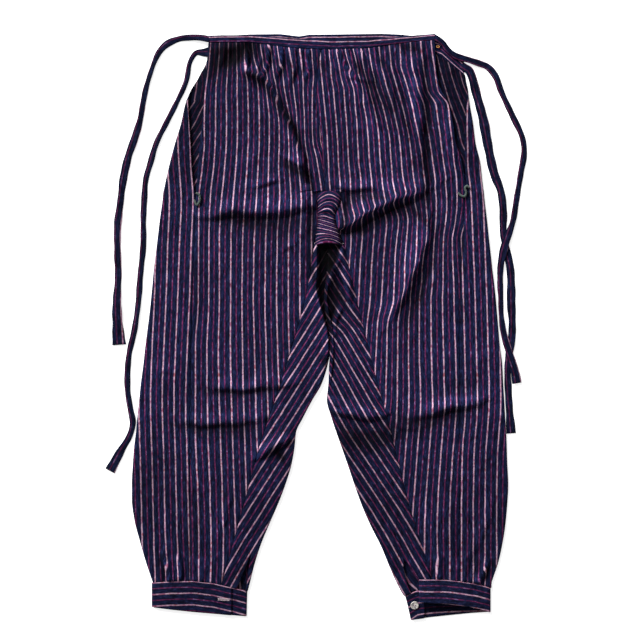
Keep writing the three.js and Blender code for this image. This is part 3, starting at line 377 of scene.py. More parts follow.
# Smaller creases between the folds.
CREASES = table("name x1 y1 x2 y2 x3 y3 wide high lean slip start end", """
left_hip_pinch -56 268 -27 254 -16 229 4 3.2 0.45 1.4 0.3 0.8
left_hip_line -45 351 -22 315 -14 290 4 1.4 0.3 0 0.2 0.2
left_pocket_pull -186 176 -160 172 -130 178 6 1.5 0.3 0 0.8 0.2
left_thigh_shadow -150 160 -100 166 -40 168 12 -1.8 0 0 0.3 0.5
left_seam_pull -60 120 -35 128 -12 150 7 1.6 0.3 0 0.1 0.7
left_calf_line -200 -230 -170 -262 -150 -300 8 1.2 0.2 0 0.1 0.1
left_calf_pull -262 -250 -240 -300 -226 -345 9 1.8 0.3 0 0.2 0.5
left_shin_pull -120 -235 -140 -290 -160 -350 9 1.5 -0.3 0 0.1 0.5
left_outer_tick -262 -60 -235 -70 -200 -62 6 1.4 0.4 0 0.5 0.1
left_side_line -215 60 -210 20 -204 -30 6 1 0.2 0 0.2 0.2
right_pleat_low 44 392 72 386 96 390 4 1.8 0.4 0 0.4 0.1
right_fan_line_1 82 400 105 350 140 285 5 1.6 -0.3 0 0.4 0.1
right_fan_line_2 120 398 142 350 160 300 5 1.6 -0.3 0 0.5 0.1
right_fan_line_3 60 370 66 330 70 290 5 1 0 0 0.2 0.1
right_seat_pull 45 219 78 218 112 212 8 3.6 0.45 0 0.9 0.3
right_crease_foot 47 156 70 150 96 152 8 -1.6 0 0 0.8 0.1
right_side_pull 200 190 215 150 218 110 6 1.4 0.3 0 0.6 0.1
right_thigh_line 165 100 150 60 120 20 4 1.6 -0.3 0 0.2 0.2
right_knee_pinch 18 -116 32 -122 48 -124 4 2.4 0.4 1 0.8 0.2
right_knee_tick 120 -150 150 -160 176 -152 7 1.6 0.3 0 0.3 0.2
right_calf_line 190 -210 205 -260 210 -320 8 1.3 0.2 0 0.1 0.1
right_calf_pull 285 -250 268 -310 250 -360 9 1.8 -0.3 0 0.2 0.5
right_shin_pull 150 -260 178 -310 190 -365 8 1.5 0.3 0 0.1 0.5
right_outer_tick 290 -40 262 -52 236 -44 6 1.4 -0.4 0 0.5 0.1
left_waist_pucker_1 -158 441 -157 431 -158 415 3 1.2 0 0 1 0
left_waist_pucker_2 -137 441 -137 431 -137 412 3 1.3 0 0 1 0
left_waist_pucker_3 -115 441 -113 432 -112 420 3 1.4 0 0 1 0
left_waist_pucker_4 -95 441 -94 430 -99 412 3 1.6 0.2 0 1 0
left_waist_pucker_5 -82 441 -84 425 -92 400 3 1.6 0.2 0 1 0
left_waist_pucker_6 -61 438 -62 420 -66 396 3 1.5 0 0 1 0
left_waist_pucker_7 -40 436 -41 418 -45 396 3 1.5 0 0 1 0
left_waist_pucker_8 -20 434 -21 418 -25 400 3 1.4 0 0 1 0
right_waist_pucker_1 16 434 18 420 20 402 3 1.4 0 0 1 0
right_waist_pucker_2 40 434 45 420 50 408 3 1.6 0 0 1 0
right_waist_pucker_3 65 436 71 420 78 402 3 1.6 0 0 1 0
right_waist_pucker_4 93 438 99 422 108 402 3 1.6 0 0 1 0
right_waist_pucker_5 122 441 130 425 140 404 3 1.5 0 0 1 0
right_waist_pucker_6 147 444 152 430 158 412 3 1.4 0 0 1 0
right_waist_pucker_7 166 446 169 432 172 414 3 1.2 0 0 1 0
left_cuff_pucker_1 -246 -366 -243 -384 -241 -404 3 1.2 0 0 0 1
left_cuff_pucker_2 -224 -370 -222 -386 -221 -404 3 1.2 0 0 0 1
left_cuff_pucker_3 -200 -372 -199 -386 -199 -404 3 1.1 0 0 0 1
left_cuff_pucker_4 -190 -376 -190 -388 -190 -404 3 1 0 0 0 1
left_cuff_pucker_5 -163 -376 -165 -390 -167 -406 3 1 0 0 0 1
left_cuff_pucker_6 -148 -380 -150 -394 -152 -408 3 0.9 0 0 0 1
right_cuff_pucker_1 180 -372 179 -386 178 -402 3 1 0 0 0 1
right_cuff_pucker_2 212 -372 211 -386 210 -402 3 1.1 0 0 0 1
right_cuff_pucker_3 224 -370 223 -386 221 -404 3 1.1 0 0 0 1
right_cuff_pucker_4 252 -368 247 -386 243 -406 3 1.2 0 0 0 1
right_cuff_pucker_5 272 -370 266 -388 260 -410 3 1.2 0 0 0 1
right_gusset_fold 45 30 38 14 31 -14 4.5 2.6 -0.4 0 0.2 0.4
right_flap 27 93 42 73 55 41 4.5 4.6 0.5 2.5 0.9 0.6
right_flap_line 36 96 47 80 55 60 3 2 0.4 0 0.4 0.3
right_gusset_shade 20 60 28 34 25 0 8 -4.5 0 0 0.8 0.5
left_gusset_fold -6 66 -2 40 6 14 5 1.6 -0.3 0 0.3 0.3
left_bulge_line -16 212 -20 176 -10 140 6 2.2 0.3 0 0.6 0.2
right_shade_line 51 208 50 185 46 160 7 -2.4 0 0 0.8 0.4
left_pinch_mouth -18 246 -8 232 -12 222 5 -2.2 0 0 0.4 0.8
left_pinch_top -40 262 -28 256 -16 246 4.5 2.4 0.5 0 0.4 0.6
""")

# Creases of the hidden back layer, which rise from the surface it lies on.
BACK_CREASES = table("name x1 y1 x2 y2 x3 y3 wide high lean slip start end", """
left_seat_line -30 380 -80 330 -150 300 10 2 0.2 0 0.4 0.2
left_seat_fan -20 300 -90 270 -170 262 12 2.2 -0.2 0 0.5 0.2
left_thigh_cross -40 90 -120 70 -230 82 11 2.4 0.3 0 0.2 0.4
left_knee_cross -60 -80 -150 -92 -240 -80 9 2.2 -0.3 0 0.3 0.3
left_calf_line -130 -220 -180 -250 -230 -240 10 1.8 0.2 0 0.2 0.2
left_cuff_fold_1 -230 -330 -226 -370 -224 -402 6 1.6 0 0 0.1 0.9
left_cuff_fold_2 -180 -335 -184 -370 -186 -402 6 1.6 0 0 0.1 0.9
left_waist_fold_1 -130 430 -126 400 -128 350 6 1.8 0 0 1 0.1
left_waist_fold_2 -60 432 -66 396 -72 340 6 1.8 0 0 1 0.1
right_seat_line 30 372 90 330 160 306 10 2 -0.2 0 0.4 0.2
right_seat_fan 40 290 110 262 200 268 12 2.2 0.2 0 0.5 0.2
right_thigh_cross 60 60 140 44 250 60 11 2.4 -0.3 0 0.2 0.4
right_knee_cross 90 -110 180 -124 262 -108 9 2.2 0.3 0 0.3 0.3
right_calf_line 170 -230 215 -262 262 -250 10 1.8 -0.2 0 0.2 0.2
right_cuff_fold_1 208 -330 210 -372 210 -404 6 1.6 0 0 0.1 0.9
right_cuff_fold_2 250 -340 244 -372 240 -404 6 1.6 0 0 0.1 0.9
right_waist_fold_1 60 432 66 396 70 340 6 1.8 0 0 1 0.1
right_waist_fold_2 140 430 142 396 150 350 6 1.8 0 0 1 0.1
""")

# Painted shade: hollows and shaded sides darkened in the colour, each along three points, with its
# width and how dark.
SHADES = table("name x1 y1 x2 y2 x3 y3 wide dark", """
under_band_left -176 438 -126 438 -80 442 17 0.8
under_band_low -176 414 -142 417 -108 424 16 0.7
under_band_side -174 400 -166 396 -150 398 14 0.4
hip_crease -104 398 -58 348 -14 264 7 0.62
tuck_shadow -110 399 -97 395 -80 382 5 0.6
hip_crease_low -20 268 -10 230 -4 205 6 0.5
hip_side -52 345 -34 318 -22 286 4 0.35
pinch -52 260 -26 244 -10 226 7 0.75
left_cross -173 174 -94 165 -11 166 12 0.42
left_knee_upper -187 -100 -118 -103 -39 -97 8 0.4
left_knee_lower -228 -153 -145 -160 -78 -150 11 0.55
inner_lap -66 -196 -54 -202 -46 -212 7 0.8
gather_shade_1 -80 428 -84 408 -92 392 4 0.5
gather_shade_2 -60 424 -58 404 -62 384 5 0.4
gather_shade_3 -40 424 -36 404 -36 380 5 0.45
gather_shade_4 0 428 10 412 18 396 4 0.4
right_diagonal 49 142 110 172 181 206 13 0.6
right_hip_1 52 418 103 370 128 302 13 0.48
right_hip_2 126 444 150 437 175 440 9 0.5
right_hip_3 100 430 128 380 150 320 6 0.35
right_fan_dark 112 380 146 306 172 222 13 0.34
right_fan_upper 58 414 84 378 106 330 8 0.34
left_low_dark -108 172 -70 150 -30 152 15 0.3
right_valley 176 419 176 300 178 160 6 0.5
right_seat 47 207 80 204 116 202 10 0.5
right_thigh 184 101 162 42 134 -13 9 0.4
right_patch 150 185 165 176 176 162 9 0.4
strip_left -5 191 -9 160 -5 128 7 0.62
hollow_left -8 130 -6 92 4 50 8 0.6
hollow 12 126 22 104 28 80 13 0.85
strip_right 45.6 211 47 183 42.5 148 7 0.6
right_knee_inner 25 -160 85 -178 142 -162 24 0.66
right_knee_outer 120 -154 180 -148 259.5 -130 14 0.55
flap_shade 21 82 33 58 47 30 7 0.72
gusset_inner 15 66 27 34 24 -4 10 0.7
left_cuff_shade -246 -350 -243 -376 -238 -402 6 0.5
right_cuff_shade 284 -366 272 -386 262 -406 6 0.45
left_vent_shade -110 -366 -113 -386 -116 -404 6 0.5
leg_top 9 -46 16 -56 17 -70 6 0.6
left_side_low -180 150 -186 60 -188 -20 7 0.25
right_side_low 226 160 228 80 227 0 6 0.25
right_calf 205 -230 214 -290 212 -350 10 0.2
left_calf -200 -230 -190 -290 -186 -350 10 0.2
left_outer_low -246 -180 -256 -250 -250 -330 22 0.18
right_outer_low 276 -190 284 -260 276 -340 22 0.18
right_cuff_dark 236 -350 252 -372 262 -384 16 0.35
""")

# Where the pink lines run on the front panels: their places across at heights down the leg,
# for every third line or so, counted from the side edge in.
LEFT_LINES = table("y 0 2 5 8 11", """
444.5 -164 -136 -99 -60 -7
410 -167 -137 -94 -53.5 -4
391 -169.5 -138.5 -89.5 -50.5 -2.5
372 -172 -139.5 -89 -48 -4
325 -174 -139 -87.5 -41 -4.5
293.5 -174 -139.5 -87.5 -40.5 -3.5
262 -176 -141 -89 -41 3
199 -182.5 -147 -92 -37.5 11
136 -183 -150.5 -95.5 -41.5 12.5
41.5 -183.5 -150.5 -97 -42 12.5
-37 -188 -152 -95 -40.5 14
-163 -188 -149 -92 -34.5 23.5
-257 -184.5 -146 -89 -31.5 26.5
-351.5 -182.5 -144 -86.5 -28.5 30
-403.5 -183 -146 -91 -36 20
""")
RIGHT_LINES = table("y 1 4 7 10 13", """
444.5 182.5 133.5 83.5 45.5 8
410 187.5 135 88.5 53.5 9
391 190 141 92.5 56.5 10.5
372 193 146.5 97.5 62 12.5
348.5 209 152.5 105.5 63 15
325 211.5 157 112 65.5 17
293.5 215 163.5 117.5 67 19.5
262 218 168.5 119.5 68.5 21
230.5 222.5 171.5 122 72 22.5
199 223.5 174.5 125 72.5 25
167.5 221 175.5 131.5 75.5 28.5
136 216 174.5 128.5 74 23.5
104.5 216.5 171 126 71.5 20.5
73 218 168.5 124.5 70 17.5
41.5 218.5 164.5 122.5 68.5 14
2.5 219.5 164 114 66 11
-37 221 164 113 63 11
-115.5 222.5 166 111 55 0
-210 216 160 104 47 -8
-304.5 211.5 153.5 96 39.5 -17.5
-367.5 212 152 91 31.5 -28.5
-403.5 212 150 88 26 -36
""")
# The first pink line of the back on each side, where it shows beside the outseam.
LEFT_BACK_LINE = table("y x", """
440 -212
325 -198
262 -196
199 -192
136 -194.5
41.5 -197.5
-37 -201
-115.5 -203.5
-210 -201
-304.5 -199
-403.5 -196
""")
RIGHT_BACK_LINE = table("y x", """
440 228
325 221
262 222
199 227.5
136 230
41.5 233.5
-37 235.5
-115.5 237
-210 231.5
-304.5 230.5
-403.5 230.5
""")


def hermite(values, slope, step, i, t):
    """The smooth curve from values[i] to values[i + 1], t of the way along."""
    return (
        (2 * t**3 - 3 * t**2 + 1) * values[i]
        + (t**3 - 2 * t**2 + t) * step * slope[i]
        + (3 * t**2 - 2 * t**3) * values[i + 1]
        + (t**3 - t**2) * step * slope[i + 1]
    )


def soft_lookup(places, values, at):
    """A smooth line through the values that never swings past them."""
    order = np.argsort(places)
    x, y = places[order], values[order]
    step = np.diff(x)
    rise = np.diff(y) / step
    slope = np.zeros(len(x))
    slope[0], slope[-1] = rise[0], rise[-1]
    before, after = rise[:-1], rise[1:]
    same = before * after > 0
    first, second = 2 * step[1:] + step[:-1], step[1:] + 2 * step[:-1]
    with np.errstate(divide="ignore", invalid="ignore"):
        blended = (first + second) / (first / before + second / after)
    slope[1:-1] = np.where(same, blended, 0.0)
    at = np.clip(np.asarray(at, float), x[0], x[-1])
    i = np.clip(np.searchsorted(x, at) - 1, 0, len(step) - 1)
    return hermite(y, slope, step[i], i, (at - x[i]) / step[i])


def unit(ways):
    """Directions of length 1."""
    return ways / np.maximum(np.linalg.norm(ways, axis=-1, keepdims=True), 1e-9)


def smooth(start, end, value):
    """0 up to start, 1 from end on, and a soft step between them."""
    t = np.clip((np.asarray(value, float) - start) / (end - start), 0, 1)
    return t * t * (3 - 2 * t)


def mix(a, b, t):
    return a + (b - a) * t


class Half:
    """One leg with its side of the body; sign points from the middle to the outer edge."""

    def __init__(self, sign, sections, lines, back_line, cuff_front, cuff_back, roll):
        self.sign = sign
        self.roll = roll
        self.sections = sections
        self.lines = lines
        self.back_line = back_line
        self.cuff_front = cuff_front
        self.cuff_back = cuff_back

    def at(self, column, y):
        return soft_lookup(self.sections["y"], self.sections[column], y)


# How high the folded inner edges roll up beside the hollow under the crotch strip; x is the
# height down the leg below the crotch with its sign turned.
LEFT_ROLL = table("x high wide", """
-131 2 8
-118 7 8
-90 8 8
-40 6.5 8
10 4 8
60 1 8
110 0 8
""")
RIGHT_ROLL = table("x high wide", """
-131 1 8
-120 3 8
-105 3.5 8
-85 4.5 8
-60 3 8
-10 1 8
60 0 8
""")
LEFT = Half(-1, LEFT_SECTIONS, LEFT_LINES, LEFT_BACK_LINE, CUFF_L_TOP, CUFF_L_TOP, LEFT_ROLL)
RIGHT = Half(
    1, RIGHT_SECTIONS, RIGHT_LINES, RIGHT_BACK_LINE, CUFF_R_FRONT_TOP, CUFF_R_BACK_TOP, RIGHT_ROLL
)


def edge(line, x, column="y"):
    return np.interp(x, line["x"], line[column])


def front_waist(x):
    return edge(FRONT_BAND, x) - edge(FRONT_BAND, x, "half") - 2 * SEAM_GAP


def back_waist(x):
    return edge(BACK_BAND, x) - edge(BACK_BAND, x, "half") - SEAM_GAP


WAIST_BEND, CUFF_BEND = 110, 70  # how far from those edges the rows still bend


def bent_height(x, y, waist_edge, cuff_line):
    """Rows next to the waist and the cuff bend to those edges."""
    up = smooth(WAIST_Y - WAIST_BEND, WAIST_Y, y)
    down = 1 - smooth(CUFF_Y, CUFF_Y + CUFF_BEND, y)
    cuff_edge = edge(cuff_line, x) + 1.5 * SEAM_GAP
    return y + (waist_edge(x) - WAIST_Y) * up + (cuff_edge - CUFF_Y) * down


# ---- folds -------------------------------------------------------------------------------------

CURVE_STEPS = 10
LOFT = 1.5  # loose cloth stands this much higher than the stiff form below it
LAPPED = 0.3  # folds that lean at least this much lap over a groove
TUCK_DEPTH, TUCK_AT, TUCK_WIDE = 0.3, 0.8, 3.4  # the groove that a fold laps over
FOLD_REACH = 3.2  # beyond this many widths a fold leaves nothing
FADE_IN, FADE_OUT = 0.35, 0.45  # shares of its length over which a fold's two ends die away
SLIP_SHARP, SLIP_REACH = 2, 1.3  # how near to the fold the stripes jump, and how far that lasts
SHADE_ENDS = (-0.15, 0.3)
SHADE_POWER = 1.4


def fold_line(folds, i):
    """Points along a fold: a smooth bend through its three places."""
    a, b, c = (np.array([folds[f"x{k}"][i], folds[f"y{k}"][i]]) for k in (1, 2, 3))
    turn = 2 * b - (a + c) / 2
    t = np.linspace(0, 1, CURVE_STEPS + 1)[:, None]
    return (1 - t) ** 2 * a + 2 * t * (1 - t) * turn + t**2 * c


def from_line(x, y, line):
    """Distance to a line, the share of its length reached, and the side: +1 on its right."""
    away = np.full(x.shape, 1e9)
    along = np.zeros(x.shape)
    side = np.ones(x.shape)
    count = len(line) - 1
    for k in range(count):
        ax, ay = line[k]
        dx, dy = line[k + 1] - line[k]
        length2 = dx * dx + dy * dy
        t = np.clip(((x - ax) * dx + (y - ay) * dy) / length2, 0, 1)
        px, py = x - ax - t * dx, y - ay - t * dy
        distance = np.hypot(px, py)
        nearer = distance < away
        away = np.where(nearer, distance, away)
        along = np.where(nearer, (k + t) / count, along)
        side = np.where(nearer, np.sign(dy * px - dx * py), side)
    return away, along, side


def wander(x, y):
    """Folds never run quite true: shifted places at which they are looked up."""
    dx = 2.2 * np.sin(y / 17 + 0.6) * np.sin(x / 61 + 1) + 1.2 * np.sin(y / 7.3 + x / 40)
    dy = 2.4 * np.sin(x / 19 + 2.2) * np.sin(y / 67 + 2) + 1.1 * np.sin(x / 8.1 - y / 37)
    return x + dx, y + dy


def fold_relief(x, y, folds):
    """Height of the folds and how far the stripes slip at a place, in mm."""
    x, y = wander(x, y)
    height, slip = np.zeros(x.shape), np.zeros(x.shape)
    columns = [folds[c] for c in ("wide", "high", "lean", "slip", "start", "end")]
    for i, (wide, high, lean, jump, start, end) in enumerate(zip(*columns)):
        line = fold_line(folds, i)
        (x0, y0), (x1, y1) = line.min(0) - FOLD_REACH * wide, line.max(0) + FOLD_REACH * wide
        near = (x > x0) & (x < x1) & (y > y0) & (y < y1)
        if not near.any():
            continue
        away, along, side = from_line(x[near], y[near], line)
        share = mix(start, 1, smooth(0, FADE_IN, along))
        share = share * mix(end, 1, smooth(0, FADE_OUT, 1 - along))
        profile = LOFT * high * np.exp(-((away / (wide * (1 - side * lean))) ** 2))
        if abs(lean) >= LAPPED:
            steep = away * side * np.sign(lean)
            tuck = np.exp(-(((steep - TUCK_AT * wide) / TUCK_WIDE) ** 2))
            profile = profile - TUCK_DEPTH * abs(high) * tuck
        height[near] += profile * share
        across = side * (1 - np.exp(-((away / SLIP_SHARP) ** 2)))
        across = across * np.exp(-((away / (SLIP_REACH * wide)) ** 2))
        slip[near] += jump * across * share
    return height, slip


def shade(x, y):
    """Painted shade: how much of the colour is left at a place: 1, or less in the hollows and on
    shaded sides.
    """
    x, y = wander(x, y)
    left = np.ones(x.shape)
    for i, (wide, dark) in enumerate(zip(SHADES["wide"], SHADES["dark"])):
        away, along, _ = from_line(x, y, fold_line(SHADES, i))
        ends = smooth(*SHADE_ENDS, along) * smooth(*SHADE_ENDS, 1 - along)
        left = left * (1 - dark * ends * np.exp(-((away / wide) ** 2)))
    return left**SHADE_POWER


def drift(x, y):
    """The slow unevenness of cloth that lies loose."""
    return (
        0.34 * np.sin(x / 31 + 1.3) * np.sin(y / 57 + 0.4)
        + 0.22 * np.sin(x / 17 - y / 43 + 2.1)
        + 0.16 * np.sin(x / 23 + y / 19 + 0.7)
        + 0.08 * np.sin(x / 6.1 + 2.0 * np.sin(y / 40)) * np.sin(y / 71 + 1.9)
    )


# Distances over which the folds die out: from the folded edges, the waist's band and the cuff.
OUTER_STILL, INNER_STILL, BAND_STILL, CUFF_STILL = (2, 22), (2, 16), (-1, 5), (-2, 6)
FREE_EDGE_DIP = 0.9  # a gusset may sink this much further


def front_level(half, x, y, free_edge=False):
    """Level of the middle of the front layer. Folds die out at folded edges and at the bands."""
    relief = fold_relief(x, y, FOLDS)[0] + fold_relief(x, y, CREASES)[0]
    height = np.maximum(relief + drift(x, y), LOWEST_DIP - FREE_EDGE_DIP * free_edge)
    still = smooth(*OUTER_STILL, np.abs(half.at("outer", y) - x))
    if not free_edge:
        inner = smooth(*INNER_STILL, np.abs(half.at("inner", y) - x))
        still = still * np.where(y < CROTCH_Y, inner, 1.0)
    still = still * smooth(*BAND_STILL, edge(FRONT_BAND, x) - edge(FRONT_BAND, x, "half") - y)
    still = still * smooth(*CUFF_STILL, y - edge(half.cuff_front, x))
    return FRONT_LEVEL + height * still


# ---- meshes ------------------------------------------------------------------------------------


def set_out(name, data):
    """A new object in the scene."""
    item = bpy.data.objects.new(name, data)
    bpy.context.scene.collection.objects.link(item)
    return item


class Piece:
    """Points with their cloth coordinates and painted light and shade, and the faces over them."""

    def __init__(self):
        self.points, self.cloth, self.wear, self.faces, self.finish = [], [], [], [], []
        self.count = 0

    def add(self, points, cloth, wear, *groups):
        """Each group is a finish, 0 for the outer side or 1 for the inner side, and its faces."""
        points = np.asarray(points, float).reshape(-1, 3)
        self.points.append(points)
        self.cloth.append(np.asarray(cloth, float).reshape(-1, 2))
        self.wear.append(np.ones(len(points)) if wear is None else wear)
        for finish, faces in groups:
            self.faces += [tuple(int(v) + self.count for v in face) for face in faces]
            self.finish += [finish] * len(faces)
        self.count += len(points)

    def build(self, name, materials, slot, replaces=True):
        mesh = bpy.data.meshes.new(f"{name}_made")
        points = (np.vstack(self.points) - np.array([MIDDLE_X, MIDDLE_Y, 0])) * MM
        mesh.from_pydata(points.tolist(), [], self.faces)
        corners = np.concatenate([np.array(face) for face in self.faces])
        cloth = np.vstack(self.cloth)[corners]
        mesh.uv_layers.new(name="cloth").uv.foreach_set("vector", cloth.ravel())
        # The painted light and shade goes onto the mesh as a point attribute; the finish darkens
        # the colour by it.
        shaded = mesh.attributes.new("wear", "FLOAT", "POINT")
        shaded.data.foreach_set("value", np.concatenate(self.wear))
        for material in materials:
            mesh.materials.append(material)
        mesh.polygons.foreach_set("material_index", self.finish)
        mesh.shade_smooth()
        mesh.update()
        item = set_out(f"{name}_made", mesh)
        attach(item, "root")
        if replaces:
            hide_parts(name)
        return item


class Wrap:
    """Strips of a sheet laid edge to edge, and how far the cloth has run at each point."""

    def __init__(self):
        self.strips, self.runs = [], []

    def add(self, x, y, z, run):
        x, y, z, run = np.broadcast_arrays(x, y, z, run)
        self.strips.append(np.stack([x, y, z], axis=2))
        self.runs.append(run)

    def joined(self, axis=1):
        return np.concatenate(self.strips, axis), np.concatenate(self.runs, axis)


def grid_normals(grid):
    return unit(np.cross(np.gradient(grid, axis=1), np.gradient(grid, axis=0)))


RIM_BULGE = 0.3  # how far a rim swells past its sheet's edge, as a share of the wall


def shell(grid, cloth, wall, outer, keep=None, wear=None):
    """A closed thin shell round a grid of middle points, with rounded rims.

    outer is the direction in which the outer side faces at the grid's first point. The last
    argument is the painted light and shade in the colour: less than 1 deep in the folds and more on
    the ridges."""
    normals = grid_normals(grid)
    wear = np.ones(grid.shape[:2]) if wear is None else wear
    if np.dot(normals[2, 2], outer) < 0:
        grid, cloth, wear, normals = grid[:, ::-1], cloth[:, ::-1], wear[:, ::-1], -normals[:, ::-1]
        keep = None if keep is None else keep[:, ::-1]
    rows, columns = grid.shape[:2]
    if keep is None:
        keep = np.ones((rows - 1, columns - 1), bool)
    number = np.arange(rows * columns).reshape(rows, columns)
    corners = [number[:-1, :-1], number[:-1, 1:], number[1:, 1:], number[1:, :-1]]
    face = np.stack(corners, axis=2)[keep]
    under = rows * columns
    middle = grid.reshape(-1, 3)
    off = (normals * wall / 2).reshape(-1, 3)
    used = {(quad[k], quad[(k + 1) % 4]): quad for quad in face for k in range(4)}
    borders = [(p, q) for (p, q) in used if (q, p) not in used]
    push = {}
    for p, q in borders:
        way = unit((middle[p] + middle[q]) / 2 - middle[used[(p, q)]].mean(0))
        for v in (p, q):
            push[v] = push.get(v, 0) + way
    rim = {v: 2 * under + k for k, v in enumerate(push)}
    rim_points = [middle[v] + unit(way) * wall * RIM_BULGE for v, way in push.items()]
    rim_faces = []
    for p, q in borders:
        rim_faces += [(q, p, rim[p], rim[q]), (rim[q], rim[p], p + under, q + under)]
    points = np.vstack([middle + off, middle - off, np.array(rim_points)])
    source = np.array([*range(under), *range(under), *push])
    wanted = np.zeros(len(points), bool)
    wanted[face.ravel()] = wanted[face.ravel() + under] = wanted[2 * under :] = True
    renumber = np.cumsum(wanted) - 1
    source = source[wanted]
    piece = Piece()
    piece.add(
        points[wanted],
        cloth.reshape(-1, 2)[source],
        wear.ravel()[source],
        (0, renumber[face]),
        (1, renumber[(face + under)[:, ::-1]]),
        (0, renumber[np.array(rim_faces)]),
    )
    return piece


def sewn(name, grid, cloth, outer, keep=None, wear=None):
    """A panel of the striped cotton."""
    piece = shell(grid, cloth, COTTON, outer, keep, wear)
    return piece.build(name, [COTTON_FACE, COTTON_INSIDE], "striped_cotton")


def folded_band(name, grid, cloth, finish):
    """A band of the striped cotton, folded double and pressed."""
    piece = shell(grid, cloth, BAND_WALL, UP)
    return piece.build(name, [finish, COTTON_INSIDE], "striped_band")


TIE_SIDES = 14
TIE_EDGE, TUBE_TOP = 0.45, 0.9  # how square a tie's long edges are, and how round its top


def tube(piece, centres, across, up, wide, thick, cloth_across, run, sides, power):
    """A closed flat strip along centres: a rounded oblong in section, its ends filled in."""
    count = len(centres)
    angle = np.linspace(0, 2 * math.pi, sides, endpoint=False)
    side = np.sign(np.cos(angle)) * np.abs(np.cos(angle)) ** power
    rise = np.sign(np.sin(angle)) * np.abs(np.sin(angle)) ** TUBE_TOP
    ring = (
        centres[:, None, :]
        + across[:, None, :] * (side[None, :, None] * wide[:, None, None] / 2)
        + up[:, None, :] * (rise[None, :, None] * thick[:, None, None] / 2)
    )
    u = cloth_across[:, None] + side[None, :] * wide[:, None] / 2 / REPEAT
    v = np.repeat(run[:, None] / REPEAT, sides, axis=1)
    faces = ring_faces(count, sides)
    if np.dot(np.cross(across[0], up[0]), centres[1] - centres[0]) <= 0:
        faces = [face[::-1] for face in faces]
    piece.add(ring, np.stack([u, v], axis=2), None, (0, faces))
    return piece


def ring_faces(count, sides):
    """Faces over rings of points, and a face over each end."""
    faces = []
    for i in range(0, (count - 1) * sides, sides):
        for k in range(sides):
            n = (k + 1) % sides
            faces.append((i + k, i + n, i + sides + n, i + sides + k))
    faces.append(tuple(range(sides - 1, -1, -1)))
    faces.append(tuple((count - 1) * sides + k for k in range(sides)))
    return faces


def spaced(a, b, step):
    return np.linspace(a, b, max(2, int(round(abs(b - a) / step)) + 1))


# ---- stripes over the pieces -------------------------------------------------------------------


def line_number(x, y, lines):
    """The stripe number at a place: whole on each pale pink line."""
    numbers = sorted(float(c) for c in lines if c != "y")
    places = [soft_lookup(lines["y"], lines[f"{n:g}"], y) for n in numbers]
    result = np.zeros(x.shape)
    for k in range(len(numbers) - 1):
        t = (x - places[k]) / (places[k + 1] - places[k])
        value = mix(numbers[k], numbers[k + 1], t)
        result = np.where((t >= 0) | (k == 0), value, result)
    return result


def front_cloth(half, x, y):
    _, slip = fold_relief(x, y, FOLDS)
    u = line_number(x + slip, y, half.lines)
    return np.stack([u, y / REPEAT], axis=2)


def mirrored_cloth(half, x, y):
    """Gusset stripes mirror the front's about the seam, so they meet it in chevrons."""
    seam_top, seam_bottom = (np.array([half.at("middle", end), end]) for end in (CROTCH_Y, CUFF_Y))
    way = unit(seam_bottom - seam_top)
    dx, dy = x - seam_top[0], y - seam_top[1]
    along = dx * way[0] + dy * way[1]
    mx = seam_top[0] + 2 * along * way[0] - dx
    my = seam_top[1] + 2 * along * way[1] - dy
    u = line_number(mx, np.clip(my, CUFF_Y, WAIST_Y), half.lines)
    return np.stack([u, my / REPEAT], axis=2)


# ---- panels ------------------------------------------------------------------------------------


STRIP_STEP = (213.5, 212.0)  # rows on both sides of the step where the crotch strip begins
STEP_CLEAR = 1.6
SEAM_FROM, SEAM_TO = 214, 196  # the side opening ends and the outseam begins
# The lower legs get darker towards the cuffs: by this gain, from and to these heights.
LOW_LEG_GAIN, LOW_LEG_FROM, LOW_LEG_TO = 0.78, -100, -280
# Painted light and shade by height: lighter on the ridges, darker in the folds, held between the
# darkest and the lightest.
HEIGHT_SHADING, DARKEST_SHADING, LIGHTEST_SHADING = 0.13, 0.45, 1.4


def panel_rows(step, top=WAIST_Y, bottom=CUFF_Y):
    heights = list(spaced(top, bottom, step))
    if top > STRIP_STEP[0]:
        middle = sum(STRIP_STEP) / 2
        heights = [y for y in heights if abs(y - middle) > STEP_CLEAR] + list(STRIP_STEP)
    return np.array(sorted(heights, reverse=True))[:, None]


def seam_groove(distance, deep=0.9, wide=2.0):
    return -deep * np.exp(-((distance / wide) ** 2))


def painted_light_and_shade(x, y, z):
    """Painted light and shade: lighter on the ridges and darker deep in the folds, by height, times
    the painted shade of the hollows; the lower legs darker towards the cuffs.
    """
    low_legs = mix(1, LOW_LEG_GAIN, smooth(LOW_LEG_FROM, LOW_LEG_TO, y))
    ridges = np.clip(1 + HEIGHT_SHADING * (z - FRONT_LEVEL), DARKEST_SHADING, LIGHTEST_SHADING)
    return ridges * shade(x, y) * low_legs


FRONT_STEP, FRONT_COLUMNS = 2.85, 121


def front_panel(half, name):
    y = panel_rows(FRONT_STEP)
    side = half.at("side", y) - half.sign * SEAM_GAP / 2
    middle = half.at("middle", y) + half.sign * SEAM_GAP / 2
    x = mix(side, middle, np.linspace(0, 1, FRONT_COLUMNS)[None])
    bent = bent_height(x, y, front_waist, half.cuff_front)
    z = front_level(half, x, bent)
    sewn_up = 1 - smooth(SEAM_TO, SEAM_FROM, bent)
    z = z + seam_groove(np.abs(x - side)) * sewn_up + seam_groove(np.abs(x - middle), 0.7)
    grid = np.stack([x, bent, z], axis=2)
    return sewn(name, grid, front_cloth(half, x, bent), UP, wear=painted_light_and_shade(x, bent, z))


BACK_STEP, BACK_COLUMNS, LAP_COLUMNS, BEND_COLUMNS = 4.4, 96, 42, 13
BACK_RISE = 1.6  # the back's creases stay below the deepest folds of the front
BACK_DRIFT = 1.5
LEAST_LAP = 0.8
OPENING_SHADE = 0.3  # beside the side opening the back lies in the shade of the front


